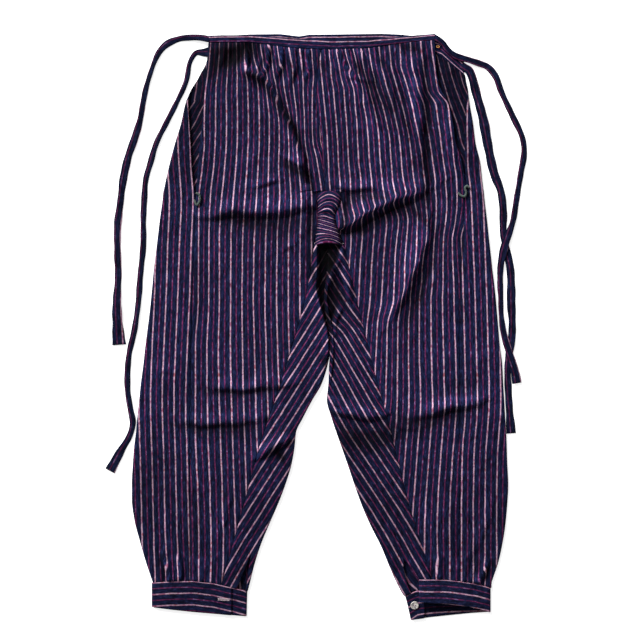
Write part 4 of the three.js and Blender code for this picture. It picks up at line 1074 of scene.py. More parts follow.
def back_panel(half, name):
    y = panel_rows(BACK_STEP)
    s = half.sign
    inner = half.at("back", y) + s * SEAM_GAP / 2
    band_end = BACK_BAND["x"][0 if s < 0 else -1] + 0 * y
    edge_y = bent_height(band_end, y, back_waist, half.cuff_back)
    outer = half.at("outer", edge_y)
    hem = half.at("hem", edge_y) + s * SEAM_GAP / 2
    centre = outer - s * FOLD_RADIUS
    turn = math.pi * (1 - smooth(LIP_TO_Y, LIP_FROM_Y, edge_y))
    wrap = Wrap()
    # The layer underneath.
    x = mix(inner, centre, np.linspace(0, 1, BACK_COLUMNS)[None])
    rise = fold_relief(x, y + 0 * x, BACK_CREASES)[0] + np.abs(drift(x, y)) * BACK_DRIFT
    rise = BACK_RISE * np.tanh(rise / BACK_RISE)
    rise = rise * smooth(0, 22, np.abs(x - centre)) * smooth(0, 10, np.abs(x - inner))
    rise = rise * smooth(0, 14, y - CUFF_Y)
    x_y = bent_height(x, y, back_waist, half.cuff_back)
    wrap.add(x, x_y, BACK_LEVEL + rise, np.abs(x - inner))
    # The bend at the outline.
    bent = bent_height(outer, y, back_waist, half.cuff_back)
    for t in np.linspace(0, 1, BEND_COLUMNS)[1:]:
        angle = turn * t
        px = centre + s * FOLD_RADIUS * np.sin(angle)
        pz = BACK_LEVEL + FOLD_RADIUS * (1 - np.cos(angle))
        run = np.abs(centre - inner) + FOLD_RADIUS * angle
        wrap.add(px, bent, pz, run)
    # The lap on the front, out to the outseam or the hem.
    over = np.maximum(LEAST_LAP, np.abs(centre - hem))
    along = over * np.linspace(0, 1, LAP_COLUMNS)[None, 1:]
    folded = (turn / math.pi) ** 4
    x = px + s * np.cos(turn) * along
    over_y = bent_height(x, y, back_waist, half.cuff_front)
    lift = (front_level(half, x, over_y) - FRONT_LEVEL) * folded
    groove = seam_groove(over - along) * (1 - smooth(SEAM_TO, SEAM_FROM, over_y)) * folded
    wrap.add(x, over_y, pz + np.sin(turn) * along + lift + groove, run + along)
    grid, length = wrap.joined()
    # On the front the stripes keep their distance from the outseam.
    first = soft_lookup(half.back_line["y"], half.back_line["x"], edge_y)
    at_first = np.abs(centre - inner) + FOLD_RADIUS * turn + np.abs(centre - first)
    u = 1 + (at_first - length) / REPEAT
    # Toward the middle of the back the stripes hang straight down.
    level_row = int(np.argmin(np.abs(y - 200)))
    straight = 1 + (at_first[level_row] - s * (grid[:, :, 0] - inner[level_row])) / REPEAT
    u = mix(u, straight, smooth(60, 190, np.abs(centre - inner) - length) * smooth(200, 260, y))
    lap = -along.shape[1]
    slip = fold_relief(grid[:, lap:, 0], grid[:, lap:, 1], FOLDS)[1]
    u[:, lap:] += s * slip * folded / REPEAT
    cloth = np.stack([u, grid[:, :, 1] / REPEAT], axis=2)
    # Painted shade: the back darker beside the side opening, and the painted light and shade of the
    # folds on its lap.
    beyond = smooth(-8, 8, s * (grid[:, :, 0] - half.at("side", y))) * smooth(195, 260, y)
    wear = 1 - OPENING_SHADE * beyond
    bend = lap - BEND_COLUMNS // 2
    shaded = painted_light_and_shade(*(grid[:, bend:, k] for k in range(3)))
    wear[:, bend:] *= np.maximum(shaded, 0.6 * (1 - folded))
    return sewn(name, grid, cloth, DOWN, wear=wear)


# Slits of the gussets above the cuffs: height of the upper end and the two edges at the cuff.
VENTS = table("name top start end", """
left -356 -124 -108.5
right -367 163.5 151
""")

GUSSET_STEP, GUSSET_COLUMNS, EDGE_STEPS = 2.9, 48, 18
ON_TOP = 3.0  # in the hollow the right gusset's fold lies on the left one's by this much
EDGE_DARK = 0.22  # painted shade: how little of the colour shows past the folded edge, down in the hollow
# Each gusset's colour made this much darker over all.
RIGHT_GUSSET_TONE, LEFT_GUSSET_TONE = 0.84, 0.97


def gusset(half, name):
    s = half.sign
    y = panel_rows(GUSSET_STEP, CROTCH_Y - SEAM_GAP, CUFF_Y)
    front = half.at("middle", y) - s * SEAM_GAP / 2
    inner = half.at("inner", y)
    under = half.at("under", y)
    sloped = smooth(0, 6, np.abs(under - inner))
    on_top = ON_TOP * smooth(-95, -60, y) if s > 0 else 0 * y
    under = under - 0.8 * on_top
    radius = mix(FOLD_RADIUS, TIGHT_FOLD, sloped)
    turn = inner + s * mix(FOLD_RADIUS, 0.8, sloped)
    centre = under + s * radius
    # The front layer, slit above the cuff between columns k and k + 1.
    columns = GUSSET_COLUMNS
    top, start, end = (VENTS[c][int(s > 0)] for c in ("top", "start", "end"))
    low_front, low_turn = front[-1, 0], turn[-1, 0]
    t_start, t_end = ((v - low_front) / (low_turn - low_front) for v in (start, end))
    k = int(round((t_start + t_end) / 2 * columns))
    opened = np.clip((top - y) / (top - CUFF_Y), 0, 1)
    t = np.linspace(0, 1, columns + 1)[None]
    first = mix(k / columns, t_start, opened)
    second = mix((k + 1) / columns, t_end, opened)
    before = t * first / (k / columns)
    after = 1 - (1 - t) * (1 - second) / (1 - (k + 1) / columns)
    x = mix(front, turn, np.where(np.arange(columns + 1)[None] <= k, before, after))
    cuff_line = [half.cuff_front] * (k + 1) + [half.cuff_back] * (columns - k)
    bent = np.stack(
        [bent_height(x[:, c], y[:, 0], front_waist, cuff_line[c]) for c in range(columns + 1)],
        axis=1,
    )
    z = front_level(half, x, bent, free_edge=True) + seam_groove(np.abs(x - front))
    roll = edge(half.roll, -y, "high")  # the folded edge rolls up beside the hollow
    z = z + roll * np.exp(-((np.abs(x - turn) / half.roll["wide"][0]) ** 2))
    wrap = Wrap()
    run = np.abs(x - front)
    wrap.add(x, bent, z, run)
    # The slope down to the fold, and the fold itself.
    low_y = bent_height(inner, y, front_waist, half.cuff_back)
    fold_top = BACK_LEVEL + 2 * radius + on_top
    reached = run[:, -1:]
    for i in range(1, EDGE_STEPS):
        t = (i / EDGE_STEPS) ** 1.4
        down = mix(z[:, -1:], fold_top, smooth(-0.08, 0.36, t))
        wrap.add(mix(turn, centre, t), low_y, down, reached + np.abs(turn - centre) * t)
    reached = reached + np.abs(turn - centre)
    for angle in np.linspace(0, math.pi, BEND_COLUMNS):
        px = centre - s * radius * math.sin(angle)
        pz = BACK_LEVEL + on_top + radius * (1 + math.cos(angle))
        wrap.add(px, low_y, pz, reached + radius * angle)
    reached = reached + radius * math.pi
    # The layer underneath.
    back = half.at("back", y) - s * SEAM_GAP / 2
    under_x = mix(centre, back, np.linspace(0, 1, 25)[None, 1:])
    under_y = bent_height(under_x, y, back_waist, half.cuff_back)
    rise = 1.2 * np.abs(drift(under_x * 1.3, y)) * smooth(0, 8, np.abs(under_x - centre))
    rise = np.minimum(rise, BACK_RISE) * smooth(0, 8, np.abs(under_x - back))
    rise = rise + on_top * (1 - smooth(0, 9, np.abs(under_x - centre)))
    wrap.add(under_x, under_y, BACK_LEVEL + rise, reached + np.abs(under_x - centre))
    grid, length = wrap.joined()
    cloth = mirrored_cloth(half, front - s * length, grid[:, :, 1])
    keep = np.ones((grid.shape[0] - 1, grid.shape[1] - 1), bool)
    keep[y[:-1, 0] < top, k] = False
    # Painted light and shade on the shown side: the folds' light and shade, darker still past the
    # folded edge down in the hollow, and each gusset's own tone.
    wear = np.ones(grid.shape[:2])
    shown = columns + EDGE_STEPS + BEND_COLUMNS // 2
    wear[:, :shown] = painted_light_and_shade(*(grid[:, :shown, k] for k in range(3)))
    past = smooth(-1, 5, (turn - grid[:, :shown, 0]) * s) * smooth(-80, -20, y)
    own = RIGHT_GUSSET_TONE if s > 0 else LEFT_GUSSET_TONE
    wear[:, :shown] *= mix(1, EDGE_DARK, past) * own
    return sewn(name, grid, cloth, UP, keep, wear)


# Puckers down the crotch strip: height, how high the ridge stands, how far its middle stands
# above its ends, how far its right end drops and its width.
PUCKERS = table("y high arch drop wide", """
203 1.8 9 0 3.2
194.5 2.2 11 0 3.0
186.5 2.2 10 1 2.8
179 1.6 7 3 2.6
171.5 1.8 1 4 3.0
165.5 1.5 0 6 2.2
160.5 1.7 0 7 2.2
155 1.7 1 7 2.2
149.5 1.8 2 6 2.2
144 1.9 3 4 2.4
138 1.4 4 2 2.6
""")
STRIP_RISE = table("x high", """
-210 1.2
-200 5
-185 5.5
-173 2.5
-160 7
-145 10
-137 10.5
-131 10
""")

STRIP_SPACING = 0.75  # from row to row of the strip
PUCKER_SLANT = 1.5
STRIP_PITCH = ([0, 34, 38, 78], [0, 3.2, 3.7, 9.4])  # stripes reached at lengths down the strip
STRIP_ACROSS = 1.6


def crotch_strip(name):
    columns = np.linspace(0, 1, 51)[None]

    def span(y, column):
        left = LEFT.at(column, y) + SEAM_GAP
        right = RIGHT.at(column, y) - SEAM_GAP
        return mix(left, right, columns)

    bulge = 4 * columns * (1 - columns)
    y = spaced(STRIP_TOP_Y, STRIP_FOLD_Y, STRIP_SPACING)[:, None]
    arch = mix(-1.2, 1.8, bulge) * (1 - smooth(0, 14, STRIP_TOP_Y - y))
    arch = arch - mix(5.0, 1.0, bulge) * (1 - smooth(0, 18, y - STRIP_FOLD_Y))
    height = soft_lookup(STRIP_RISE["x"], STRIP_RISE["high"], -y) * bulge**0.6
    for place, high, bend, drop, wide in zip(*PUCKERS.values()):
        lean = bend * (bulge - 0.5) - drop * (columns - 0.5) * PUCKER_SLANT
        height = height + high * np.exp(-(((y - place - lean) / wide) ** 2)) * mix(0.45, 1, bulge)
    calm = smooth(-0.08, 0.1, np.minimum(columns, 1 - columns)) * smooth(-1, 4, STRIP_TOP_Y - y)
    z = FRONT_LEVEL + np.maximum(height, -1) * calm
    drop = np.interp(-y, -PUCKERS["y"], PUCKERS["drop"])
    bend = np.interp(-y, -PUCKERS["y"], PUCKERS["arch"])
    at = STRIP_TOP_Y - y + bend * (bulge - 0.5) - drop * (columns - 0.5) * PUCKER_SLANT
    pitch = np.interp(at, *STRIP_PITCH)
    wrap = Wrap()
    wrap.add(span(y, "middle"), y + arch, z, pitch)
    row = span(np.array([[STRIP_FOLD_Y]]), "middle")
    for angle in np.linspace(0, math.pi, 15)[1:]:
        left = 1 - angle / math.pi
        fold_y = arch[-1:] * left + STRIP_FOLD_Y - FOLD_RADIUS * math.sin(angle)
        fold_z = BACK_LEVEL + FOLD_RADIUS * (1 + math.cos(angle))
        fold_z = mix(fold_z, fold_z + z[-1:] - FRONT_LEVEL, left**2)
        run = pitch[-1:] + FOLD_RADIUS * angle / REPEAT
        wrap.add(row, fold_y, fold_z, run)
    y_back = spaced(STRIP_FOLD_Y, STRIP_BACK_TOP_Y + 17.5, 2.5)[1:, None]
    wrap.add(span(y_back, "back"), y_back, BACK_LEVEL, run + (y_back - STRIP_FOLD_Y) / REPEAT)
    grid, u = wrap.joined(axis=0)
    cloth = np.stack([u + 0.1, np.broadcast_to(columns * STRIP_ACROSS, u.shape)], axis=2)
    # Painted light and shade on the strip: lighter where its puckers stand high, darker where it
    # sinks and along both sides.
    wear = np.ones(u.shape)
    sides = smooth(-0.05, 0.22, np.minimum(columns, 1 - columns))
    wear[: len(y)] = np.clip(0.75 + 0.07 * height, 0.5, LIGHTEST_SHADING) * mix(0.45, 1, sides)
    return sewn(name, grid, cloth, UP, wear=wear)


# ---- bands, cuffs and ties ---------------------------------------------------------------------


BAND_CLOSER = 1.4  # the bands are cut where the stripes run closer


def waistband(line, level, name, first_line):
    x = spaced(line["x"][0], line["x"][-1], 2.2)[:, None]
    t = np.linspace(-1, 1, 15)[None]
    wave = 0.25 * np.sin(x / 9 + 1.1) * np.sin(x / 23)
    half = edge(line, x, "half")
    y = edge(line, x) + half * t + wave * (1 - np.abs(t) ** 4)
    z = level + 0.35 * np.sin(x / 15 + 0.8) * (1 - t**2)
    z = np.maximum(z + 0.2 * np.sin(x / 5.3 + t * 2) * (1 - t**2), BAND_WALL / 2)
    grid = np.stack([np.broadcast_to(x, y.shape), y, z], axis=2)
    u = first_line + (half * (1 - t)) / REPEAT * BAND_CLOSER
    cloth = np.stack([u, np.broadcast_to(x / REPEAT, u.shape)], axis=2)
    return folded_band(name, grid, cloth, BAND_FACE)


LEFT_CUFF = SimpleNamespace(
    sign=-1,
    outer=-256,
    flap_end=-131.5,
    underlap_end=-138,
    inner_top=-107.5,
    inner_bottom=-108.5,
    lift=0,
    front=(CUFF_L_TOP, CUFF_L_BOTTOM),
    back=(CUFF_L_TOP, CUFF_L_BOTTOM),
)
RIGHT_CUFF = SimpleNamespace(
    sign=1,
    outer=275.5,
    flap_end=164,
    underlap_end=172,
    inner_top=143,
    inner_bottom=151.5,
    lift=9,
    front=(CUFF_R_FRONT_TOP, CUFF_R_FRONT_BOTTOM),
    back=(CUFF_R_BACK_TOP, CUFF_R_BACK_BOTTOM),
)
UNDERLAP_LEVEL = 4.7
OVERLAP = 1.0
CUFF_ROWS = 19
CUFF_PINK = 0.02  # a pink line runs this far below the cuff's upper edge, in repeats


def cuff_band(cuff, name):
    s = cuff.sign
    t = np.linspace(0, 1, CUFF_ROWS)[:, None]

    def down(lines, x):
        return mix(edge(lines[0], x), edge(lines[1], x), t)

    wrap = Wrap()
    radius = (BAND_FRONT_LEVEL - BAND_BACK_LEVEL) / 2
    outer = cuff.outer - s * radius
    x = mix(cuff.flap_end, outer, np.linspace(0, 1, 75)[None])
    lift = cuff.lift * t**1.5 * smooth(0, 40, np.abs(x - cuff.outer))
    near = OVERLAP * (1 - smooth(0, 14, np.abs(x - cuff.underlap_end)))
    passed = np.where((x - cuff.underlap_end) * s < 0, OVERLAP, near)
    swell = 0.3 * np.sin(x / 9 + 2 * t) * np.sin(math.pi * t) + 0.5 * np.sin(math.pi * t)
    z = BAND_FRONT_LEVEL + np.maximum(passed, lift) + swell * smooth(0, 12, np.abs(x - outer))
    wrap.add(x, down(cuff.front, x), z, np.abs(x - cuff.flap_end))
    reached = abs(outer - cuff.flap_end)
    for angle in np.linspace(0, math.pi, BEND_COLUMNS)[1:]:
        px = outer + s * radius * math.sin(angle)
        pz = BAND_BACK_LEVEL + radius * (1 + math.cos(angle))
        wrap.add(px, down(cuff.back, cuff.outer), pz, reached + radius * angle)
    reached += radius * math.pi
    inner_radius = (UNDERLAP_LEVEL - BAND_BACK_LEVEL) / 2
    lean = mix(cuff.inner_top, cuff.inner_bottom, t)
    inner = lean + s * inner_radius
    x = mix(outer, inner, np.linspace(0, 1, 41)[None, 1:])
    wrap.add(x, down(cuff.back, x), BAND_BACK_LEVEL, reached + np.abs(x - outer))
    reached = reached + np.abs(inner - outer)
    for angle in np.linspace(0, math.pi, 11)[1:]:
        px = inner - s * inner_radius * math.sin(angle)
        pz = BAND_BACK_LEVEL + inner_radius * (1 - math.cos(angle))
        wrap.add(px, down(cuff.back, lean), pz, reached + inner_radius * angle)
    reached = reached + inner_radius * math.pi
    x = mix(inner, cuff.underlap_end, np.linspace(0, 1, 15)[None, 1:])
    wrap.add(x, down(cuff.back, x), UNDERLAP_LEVEL, reached + np.abs(x - inner))
    grid, length = wrap.joined()
    tall = np.abs(grid[0, :, 1] - grid[-1, :, 1])[None]
    cloth = np.stack([CUFF_PINK + t * tall / REPEAT, length / REPEAT], axis=2)
    return folded_band(name, grid, cloth, CUFF_FACE)


def curve_through(points, step):
    """Evenly spaced places on a smooth line through the points, and how far along they are."""
    gaps = np.sqrt(np.linalg.norm(np.diff(points, axis=0), axis=1))
    at = np.concatenate([[0], np.cumsum(gaps)])
    fine = np.linspace(0, at[-1], 40 * len(points))
    line = np.stack([soft_curve(at, column, fine) for column in points.T], axis=1)
    run = travelled(line[:, :2])
    places = spaced(0, run[-1], step)
    return np.stack([np.interp(places, run, column) for column in line.T], axis=1), places


def travelled(line):
    """How far along a line each of its points is."""
    return np.concatenate([[0], np.cumsum(np.linalg.norm(np.diff(line, axis=0), axis=1))])


def soft_curve(at, values, fine):
    """Catmull-Rom through values at uneven places."""
    i = np.clip(np.searchsorted(at, fine) - 1, 0, len(at) - 2)
    step = at[i + 1] - at[i]
    return hermite(values, np.gradient(values, at), step, i, (fine - at[i]) / step)


def tie(line, name, first_line, phase, sewn_in=3.0):
    """A tie along its places; sewn_in is how far it runs on into the end of its band."""
    columns = np.stack([line[c] for c in ("x", "y", "high", "wide")], axis=1)
    start = columns[0] - columns[1]
    root = columns[0] + start * sewn_in / np.hypot(*start[:2])
    root[2:] = columns[0, 2:]
    points, run = curve_through(np.vstack([root, columns]), 2.4)
    centres = points[:, :3].copy()
    wide = points[:, 3] * (1 + 0.05 * np.sin(run / 11 + phase) + 0.04 * np.sin(run / 4.7 + phase))
    way = unit(np.gradient(centres, axis=0))
    flat = unit(np.stack([way[:, 1], -way[:, 0], 0 * way[:, 0]], axis=1))
    roll = 0.20 * np.sin(run / 29 + phase) * np.sin(run / 71 + phase) * smooth(0, 30, run)
    roll = roll * smooth(0, 25, run[-1] - run)
    across = flat * np.cos(roll)[:, None] + UP * np.sin(roll)[:, None]
    rise = np.cross(across, way)
    rise = rise * np.sign(rise[:, 2:3])
    thick = TIE_WALL * (1 + 0.18 * np.sin(run / 13 + phase * 2) + 0.12 * np.sin(run / 5.1))
    lowest = wide / 2 * np.abs(np.sin(roll)) + thick / 2
    centres[:, 2] = np.maximum(centres[:, 2] + 0.2, lowest + 0.05)
    u = first_line + 0.05 * np.sin(run / 37 + phase)
    piece = tube(Piece(), centres, across, rise, wide, thick, u, run, TIE_SIDES, TIE_EDGE)
    return piece.build(name, [TIE_FACE], "striped_tie")


# ---- threads and button ------------------------------------------------------------------------


def strand(piece, line, radius, sides=8):
    """A round thread along points, with filled ends."""
    way = unit(np.gradient(line, axis=0))
    side = unit(np.cross(way, np.array([0.13, 0.21, 1.0])))
    wide = np.full(len(line), 2 * radius)
    wide[0] = wide[-1] = 1.2 * radius
    run = travelled(line)
    return tube(piece, line, side, np.cross(side, way), wide, wide, 0 * run, run, sides, 1.0)


TACK_STRANDS, TACK_STRAND_RADIUS, TACK_TWIST_RADIUS, TACK_TURN = 4, 0.85, 1.05, 9.0


def tack(line, half, name):
    """Thick cotton: strands twisted round each other over the lower end of a side opening."""
    path, run = curve_through(np.stack([line["x"], line["y"]], axis=1), 0.7)
    ground = front_level(half, path[:, :1], path[:, 1:2])[:, 0]
    level = ground.max() + COTTON / 2 + 1.9 + 0.6 * np.sin(run / run[-1] * math.pi)
    way = unit(np.gradient(path, axis=0))
    piece = Piece()
    for k in range(TACK_STRANDS):
        angle = run / TACK_TURN * 2 * math.pi + k * 2 * math.pi / TACK_STRANDS
        out = TACK_TWIST_RADIUS * np.cos(angle)
        x, y = path[:, 0] - way[:, 1] * out, path[:, 1] + way[:, 0] * out
        points = np.stack([x, y, level + TACK_TWIST_RADIUS * np.sin(angle)], axis=1)
        strand(piece, points, TACK_STRAND_RADIUS)
    return piece.build(name, [TACK_THREAD], "green_thread")


BUTTON_AT = np.array([156.6, -438.5])

BUTTON_PROFILE = table("radius up", """
4.6 0
5.9 0.35
6.5 1.05
6.2 1.8
5.4 2.2
4.5 2.0
3.8 1.6
2.6 1.5
""")
BUTTON_TURNS = 64
BUTTON_BASE = UNDERLAP_LEVEL + 1.1 + 0.3
BUTTON_FACE = BUTTON_BASE + 1.5
HOLE_OFF = 1.7
HOLE_RADIUS = 0.95


def button(name):
    """A shirt button: a rounded rim, a dished face and two sewing holes, turned on the lathe."""
    angle = np.linspace(0, 2 * math.pi, BUTTON_TURNS, endpoint=False)
    circle = np.stack([np.cos(angle), np.sin(angle)], axis=1)
    rings = [
        np.column_stack([BUTTON_AT + radius * circle, np.full(BUTTON_TURNS, BUTTON_BASE + up)])
        for radius, up in zip(BUTTON_PROFILE["radius"], BUTTON_PROFILE["up"])
    ]
    points = np.vstack(rings)
    piece = Piece()
    cloth = (points[:, :2] - BUTTON_AT) / 10
    piece.add(points, cloth, None, (0, ring_faces(len(rings), BUTTON_TURNS)))
    item = piece.build(name, [PEARL], "pearl_button")
    cutters = []
    for side in (-1, 1):
        x, y = BUTTON_AT - (MIDDLE_X, MIDDLE_Y)
        bpy.ops.mesh.primitive_cylinder_add(
            vertices=28,
            radius=HOLE_RADIUS * MM,
            depth=6 * MM,
            location=((x + side * HOLE_OFF) * MM, y * MM, (BUTTON_BASE + 1) * MM),
        )
        cutters.append(bpy.context.object)
        cut = item.modifiers.new("hole", "BOOLEAN")
        cut.operation = "DIFFERENCE"
        cut.object = cutters[-1]
        cut.solver = "EXACT"
    bpy.context.view_layer.update()
    evaluated = item.evaluated_get(bpy.context.evaluated_depsgraph_get())
    holed = bpy.data.meshes.new_from_object(evaluated)
    item.modifiers.clear()
    item.data = holed
    for cutter in cutters:
        bpy.data.objects.remove(cutter)
    item.data.set_sharp_from_angle(angle=math.radians(50))
    return item


def button_thread():
    """The sewing thread between the button's two holes, three strands side by side."""
    piece = Piece()
    t = np.linspace(-1, 1, 15)
    for off in (-0.35, 0.0, 0.35):
        x, y = BUTTON_AT[0] + HOLE_OFF * t, BUTTON_AT[1] + off * np.cos(t * 1.3)
        z = BUTTON_FACE + 0.75 * (1 - t**4) - 0.6
        strand(piece, np.stack([x, y, z], axis=1), 0.3)
    return piece.build("button_thread", [PALE_THREAD], "green_thread", replaces=False)


SLOT_START, SLOT_END, SLOT_Y, SLOT_SLOPE = -152, -134, -428.6, -0.05
STITCH_EVERY, STITCH_LEAN, STITCH_HALF, STITCH_RADIUS = 1.15, 0.15, 0.75, 0.42


def buttonhole():
    """The worked slot near the end of the left cuff's flap: short stitches on both lips."""
    level = BAND_FRONT_LEVEL + BAND_WALL / 2 + OVERLAP + 0.5
    t = np.linspace(-1, 1, 7)
    z = level + STITCH_RADIUS * (1 - 1.2 * t**2)
    piece = Piece()
    for x in np.arange(SLOT_START, SLOT_END, STITCH_EVERY):
        for lip in (1.0, -1.0):
            y = SLOT_Y + SLOT_SLOPE * (x - SLOT_START) + lip + STITCH_HALF * t
            strand(piece, np.stack([x + STITCH_LEAN * t, y, z], axis=1), STITCH_RADIUS, 6)
    return piece.build("buttonhole_stitches", [PALE_THREAD], "green_thread", replaces=False)


ENDS_X, ENDS_Y, ENDS_UP = 193.5, 440.3, 3.2  # where the ochre thread leaves the band


def thread_ends():
    """The loose curls of ochre thread at the right end of the waistband."""
    piece = Piece()
    t = np.linspace(0, 1, 12)
    for turn, lift in ((0.0, 0.4), (2.1, 0.9), (4.0, 1.3)):
        curl = turn + 4.5 * t
        x = ENDS_X + 2.6 * np.cos(curl) * (1 - 0.3 * t)
        y = ENDS_Y + 1.6 * np.sin(curl)
        strand(piece, np.stack([x, y, ENDS_UP + lift + 0.3 * np.sin(6 * t)], axis=1), 0.5, 6)
    return piece.build("ochre_thread_end", [OCHRE_THREAD], "green_thread", replaces=False)


# ---- finishes ----------------------------------------------------------------------------------


def srgb(red, green, blue):
    """A colour given as it looks, 0 to 255, as the linear values that a node takes."""
    values = []
    for part in (red, green, blue):
        c = part / 255
        values.append(c / 12.92 if c <= 0.04045 else ((c + 0.055) / 1.055) ** 2.4)
    return (*values, 1.0)


class Wiring:
    """Short ways to place and join shader nodes in one tree."""

    def __init__(self, tree):
        self.tree = tree

    def node(self, kind, **settings):
        made = self.tree.nodes.new(kind)
        for key, value in settings.items():
            setattr(made, key, value)
        return made

    def put(self, socket, value):
        if isinstance(value, bpy.types.NodeSocket):
            self.tree.links.new(value, socket)
        else:
            socket.default_value = value

    def group(self, tree, **values):
        """A placed group; its sockets are named with a low line for each space."""
        made = self.node("ShaderNodeGroup", node_tree=tree)
        for name, value in values.items():
            self.put(made.inputs[name.replace("_", " ")], value)
        return made.outputs

    def math(self, operation, *values):
        made = self.node("ShaderNodeMath", operation=operation)
        for socket, value in zip(made.inputs, values):
            self.put(socket, value)
        return made.outputs[0]

    def times(self, a, b):
        return self.math("MULTIPLY", a, b)

    def plus(self, a, b):
        return self.math("ADD", a, b)

    def range(self, value, low, high, to_low=0.0, to_high=1.0, step="SMOOTHSTEP"):
        made = self.node("ShaderNodeMapRange", interpolation_type=step)
        names = ("Value", "From Min", "From Max", "To Min", "To Max")
        for name, part in zip(names, (value, low, high, to_low, to_high)):
            self.put(made.inputs[name], part)
        return made.outputs["Result"]

    def mix(self, factor, a, b, blend="MIX"):
        made = self.node("ShaderNodeMix", data_type="RGBA", blend_type=blend)
        for socket, value in (("Factor", factor), (6, a), (7, b)):
            self.put(made.inputs[socket], value)
        return made.outputs[2]

    def gained(self, colour, gain):
        """The colour made darker by a gain below 1, lighter by one above."""
        return self.mix(1.0, colour, self.vector(gain, gain, gain), "MULTIPLY")

    def vector(self, x=0.0, y=0.0, z=0.0):
        made = self.node("ShaderNodeCombineXYZ")
        for socket, value in zip(made.inputs, (x, y, z)):
            self.put(socket, value)
        return made.outputs[0]

    def apart(self, vector):
        made = self.node("ShaderNodeSeparateXYZ")
        self.put(made.inputs[0], vector)
        return made.outputs[0], made.outputs[1]

    def noise(self, vector, scale=1.0, detail=2.0, roughness=0.5):
        made = self.node("ShaderNodeTexNoise")
        names = ("Vector", "Scale", "Detail", "Roughness")
        for name, part in zip(names, (vector, scale, detail, roughness)):
            self.put(made.inputs[name], part)
        return made.outputs["Fac"]

    def streaks(self, u, v, across, along, layer=0.0, detail=2.0, roughness=0.5):
        """Noise drawn out along the threads: so many places across and along a repeat."""
        place = self.vector(self.times(u, across), self.times(v, along), layer)
        return self.noise(place, 1.0, detail, roughness)

    def ramp(self, value, stops):
        """Colours at places: a stop is its place, then red, green and blue from 0 to 255."""
        made = self.node("ShaderNodeValToRGB")
        elements = made.color_ramp.elements
        for element, (place, *colour) in zip(elements, (stops[0], stops[-1])):
            element.position = place
            element.color = srgb(*colour)
        for place, *colour in stops[1:-1]:
            elements.new(place).color = srgb(*colour)
        self.put(made.inputs[0], value)
        return made.outputs[0]

    def bumped(self, shader, height, strength, distance):
        """Relief on the shader's surface; its distance is in mm."""
        relief = self.node("ShaderNodeBump")
        relief.inputs["Strength"].default_value = strength
        relief.inputs["Distance"].default_value = distance * MM
        self.put(relief.inputs["Height"], height)
        self.put(shader.inputs["Normal"], relief.outputs[0])


def new_group(name, inputs, outputs):
    """A shader node group with named sockets: its wiring, what it is given and its result."""
    tree = bpy.data.node_groups.new(name, "ShaderNodeTree")
    for label, kind, value in inputs:
        socket = tree.interface.new_socket(name=label, in_out="INPUT", socket_type=kind)
        if value is not None:
            socket.default_value = value
    for label, kind in outputs:
        tree.interface.new_socket(name=label, in_out="OUTPUT", socket_type=kind)
    w = Wiring(tree)
    return w, w.node("NodeGroupInput").outputs, w.node("NodeGroupOutput").inputs


FLOAT, COLOUR, VECTOR = "NodeSocketFloat", "NodeSocketColor", "NodeSocketVector"

YARN_WAVER = 0.09  # how far the lines stray, in repeats
LINE_EDGE, MAGENTA_EDGE = 0.028, 0.03  # how soft the lines' edges are
PINK_COVER = 0.93
NAVY = [
    (0.30, 4, 5, 15),
    (0.42, 11, 14, 38),
    (0.50, 18, 26, 58),
    (0.58, 20, 18, 46),
    (0.66, 13, 29, 56),
    (0.76, 7, 9, 28),
]
SLUB_BLUE = (46, 60, 106)
MAGENTA = [(0.30, 44, 22, 58), (0.43, 90, 30, 72), (0.56, 122, 44, 88), (0.70, 142, 116, 168)]
PINK = [(0.30, 150, 80, 100), (0.42, 176, 112, 146), (0.54, 222, 182, 206), (0.66, 178, 100, 116)]


def stripe_group():
    """The yarn-dyed stripe: pale pink lines, flecked magenta between them, on uneven navy."""
    w, given, result = new_group(
        "yarn dyed stripes",
        [
            ("Cloth", VECTOR, None),
            ("Pink Half Width", FLOAT, 0.05),
            ("Magenta Half Width", FLOAT, 0.044),
            ("Magenta Strength", FLOAT, 1.0),
            ("Depth", FLOAT, 1.0),
        ],
        [("Colour", COLOUR), ("Raised", FLOAT)],
    )
    u, v = w.apart(given["Cloth"])
    waver = w.streaks(u, v, 2.0, 0.55)
    u = w.plus(u, w.times(w.math("SUBTRACT", waver, 0.5), YARN_WAVER))

    def line(middle, half, soft):
        """1 on the line at this share of a repeat, 0 beside it."""
        at = w.math("FRACT", w.plus(u, 0.5 - middle))
        away = w.math("ABSOLUTE", w.math("SUBTRACT", at, 0.5))
        return w.range(away, w.plus(half, soft), w.math("SUBTRACT", half, soft))

    # Navy ground: threads of slightly different dye run the length of the cloth.
    threads = w.streaks(u, v, 11.0, 0.5, 0.0, 3.0, 0.65)
    slub = w.range(w.streaks(u, v, 20.0, 2.2), 0.50, 0.72, 0, 0.6)
    ground = w.mix(slub, w.ramp(threads, NAVY), srgb(*SLUB_BLUE))
    # Coarser threads, each a little lighter or darker than its neighbours.
    coarse = w.streaks(u, v, 9.0, 1.3, 5.3)
    ground = w.gained(ground, w.range(coarse, 0.32, 0.68, 0.5, 1.6, "LINEAR"))
    # Magenta between the pink lines, broken along its length.
    fleck = w.streaks(u, v, 5.0, 2.4, 3.7, 3.0, 0.7)
    strength = w.times(w.range(fleck, 0.30, 0.42, 0.35, 1.0), given["Magenta Strength"])
    mask = line(0.5, given["Magenta Half Width"], MAGENTA_EDGE)
    colour = w.mix(w.times(mask, strength), ground, w.ramp(fleck, MAGENTA))
    # Pale pink lines.
    mask = line(0.0, given["Pink Half Width"], LINE_EDGE)
    tint = w.streaks(u, v, 3.0, 1.6, 8.1, 3.0)
    colour = w.mix(w.times(mask, PINK_COVER), colour, w.ramp(tint, PINK))
    w.put(result["Colour"], w.gained(colour, given["Depth"]))
    w.put(result["Raised"], w.plus(w.times(mask, 0.6), w.times(threads, 0.5)))
    return w.tree


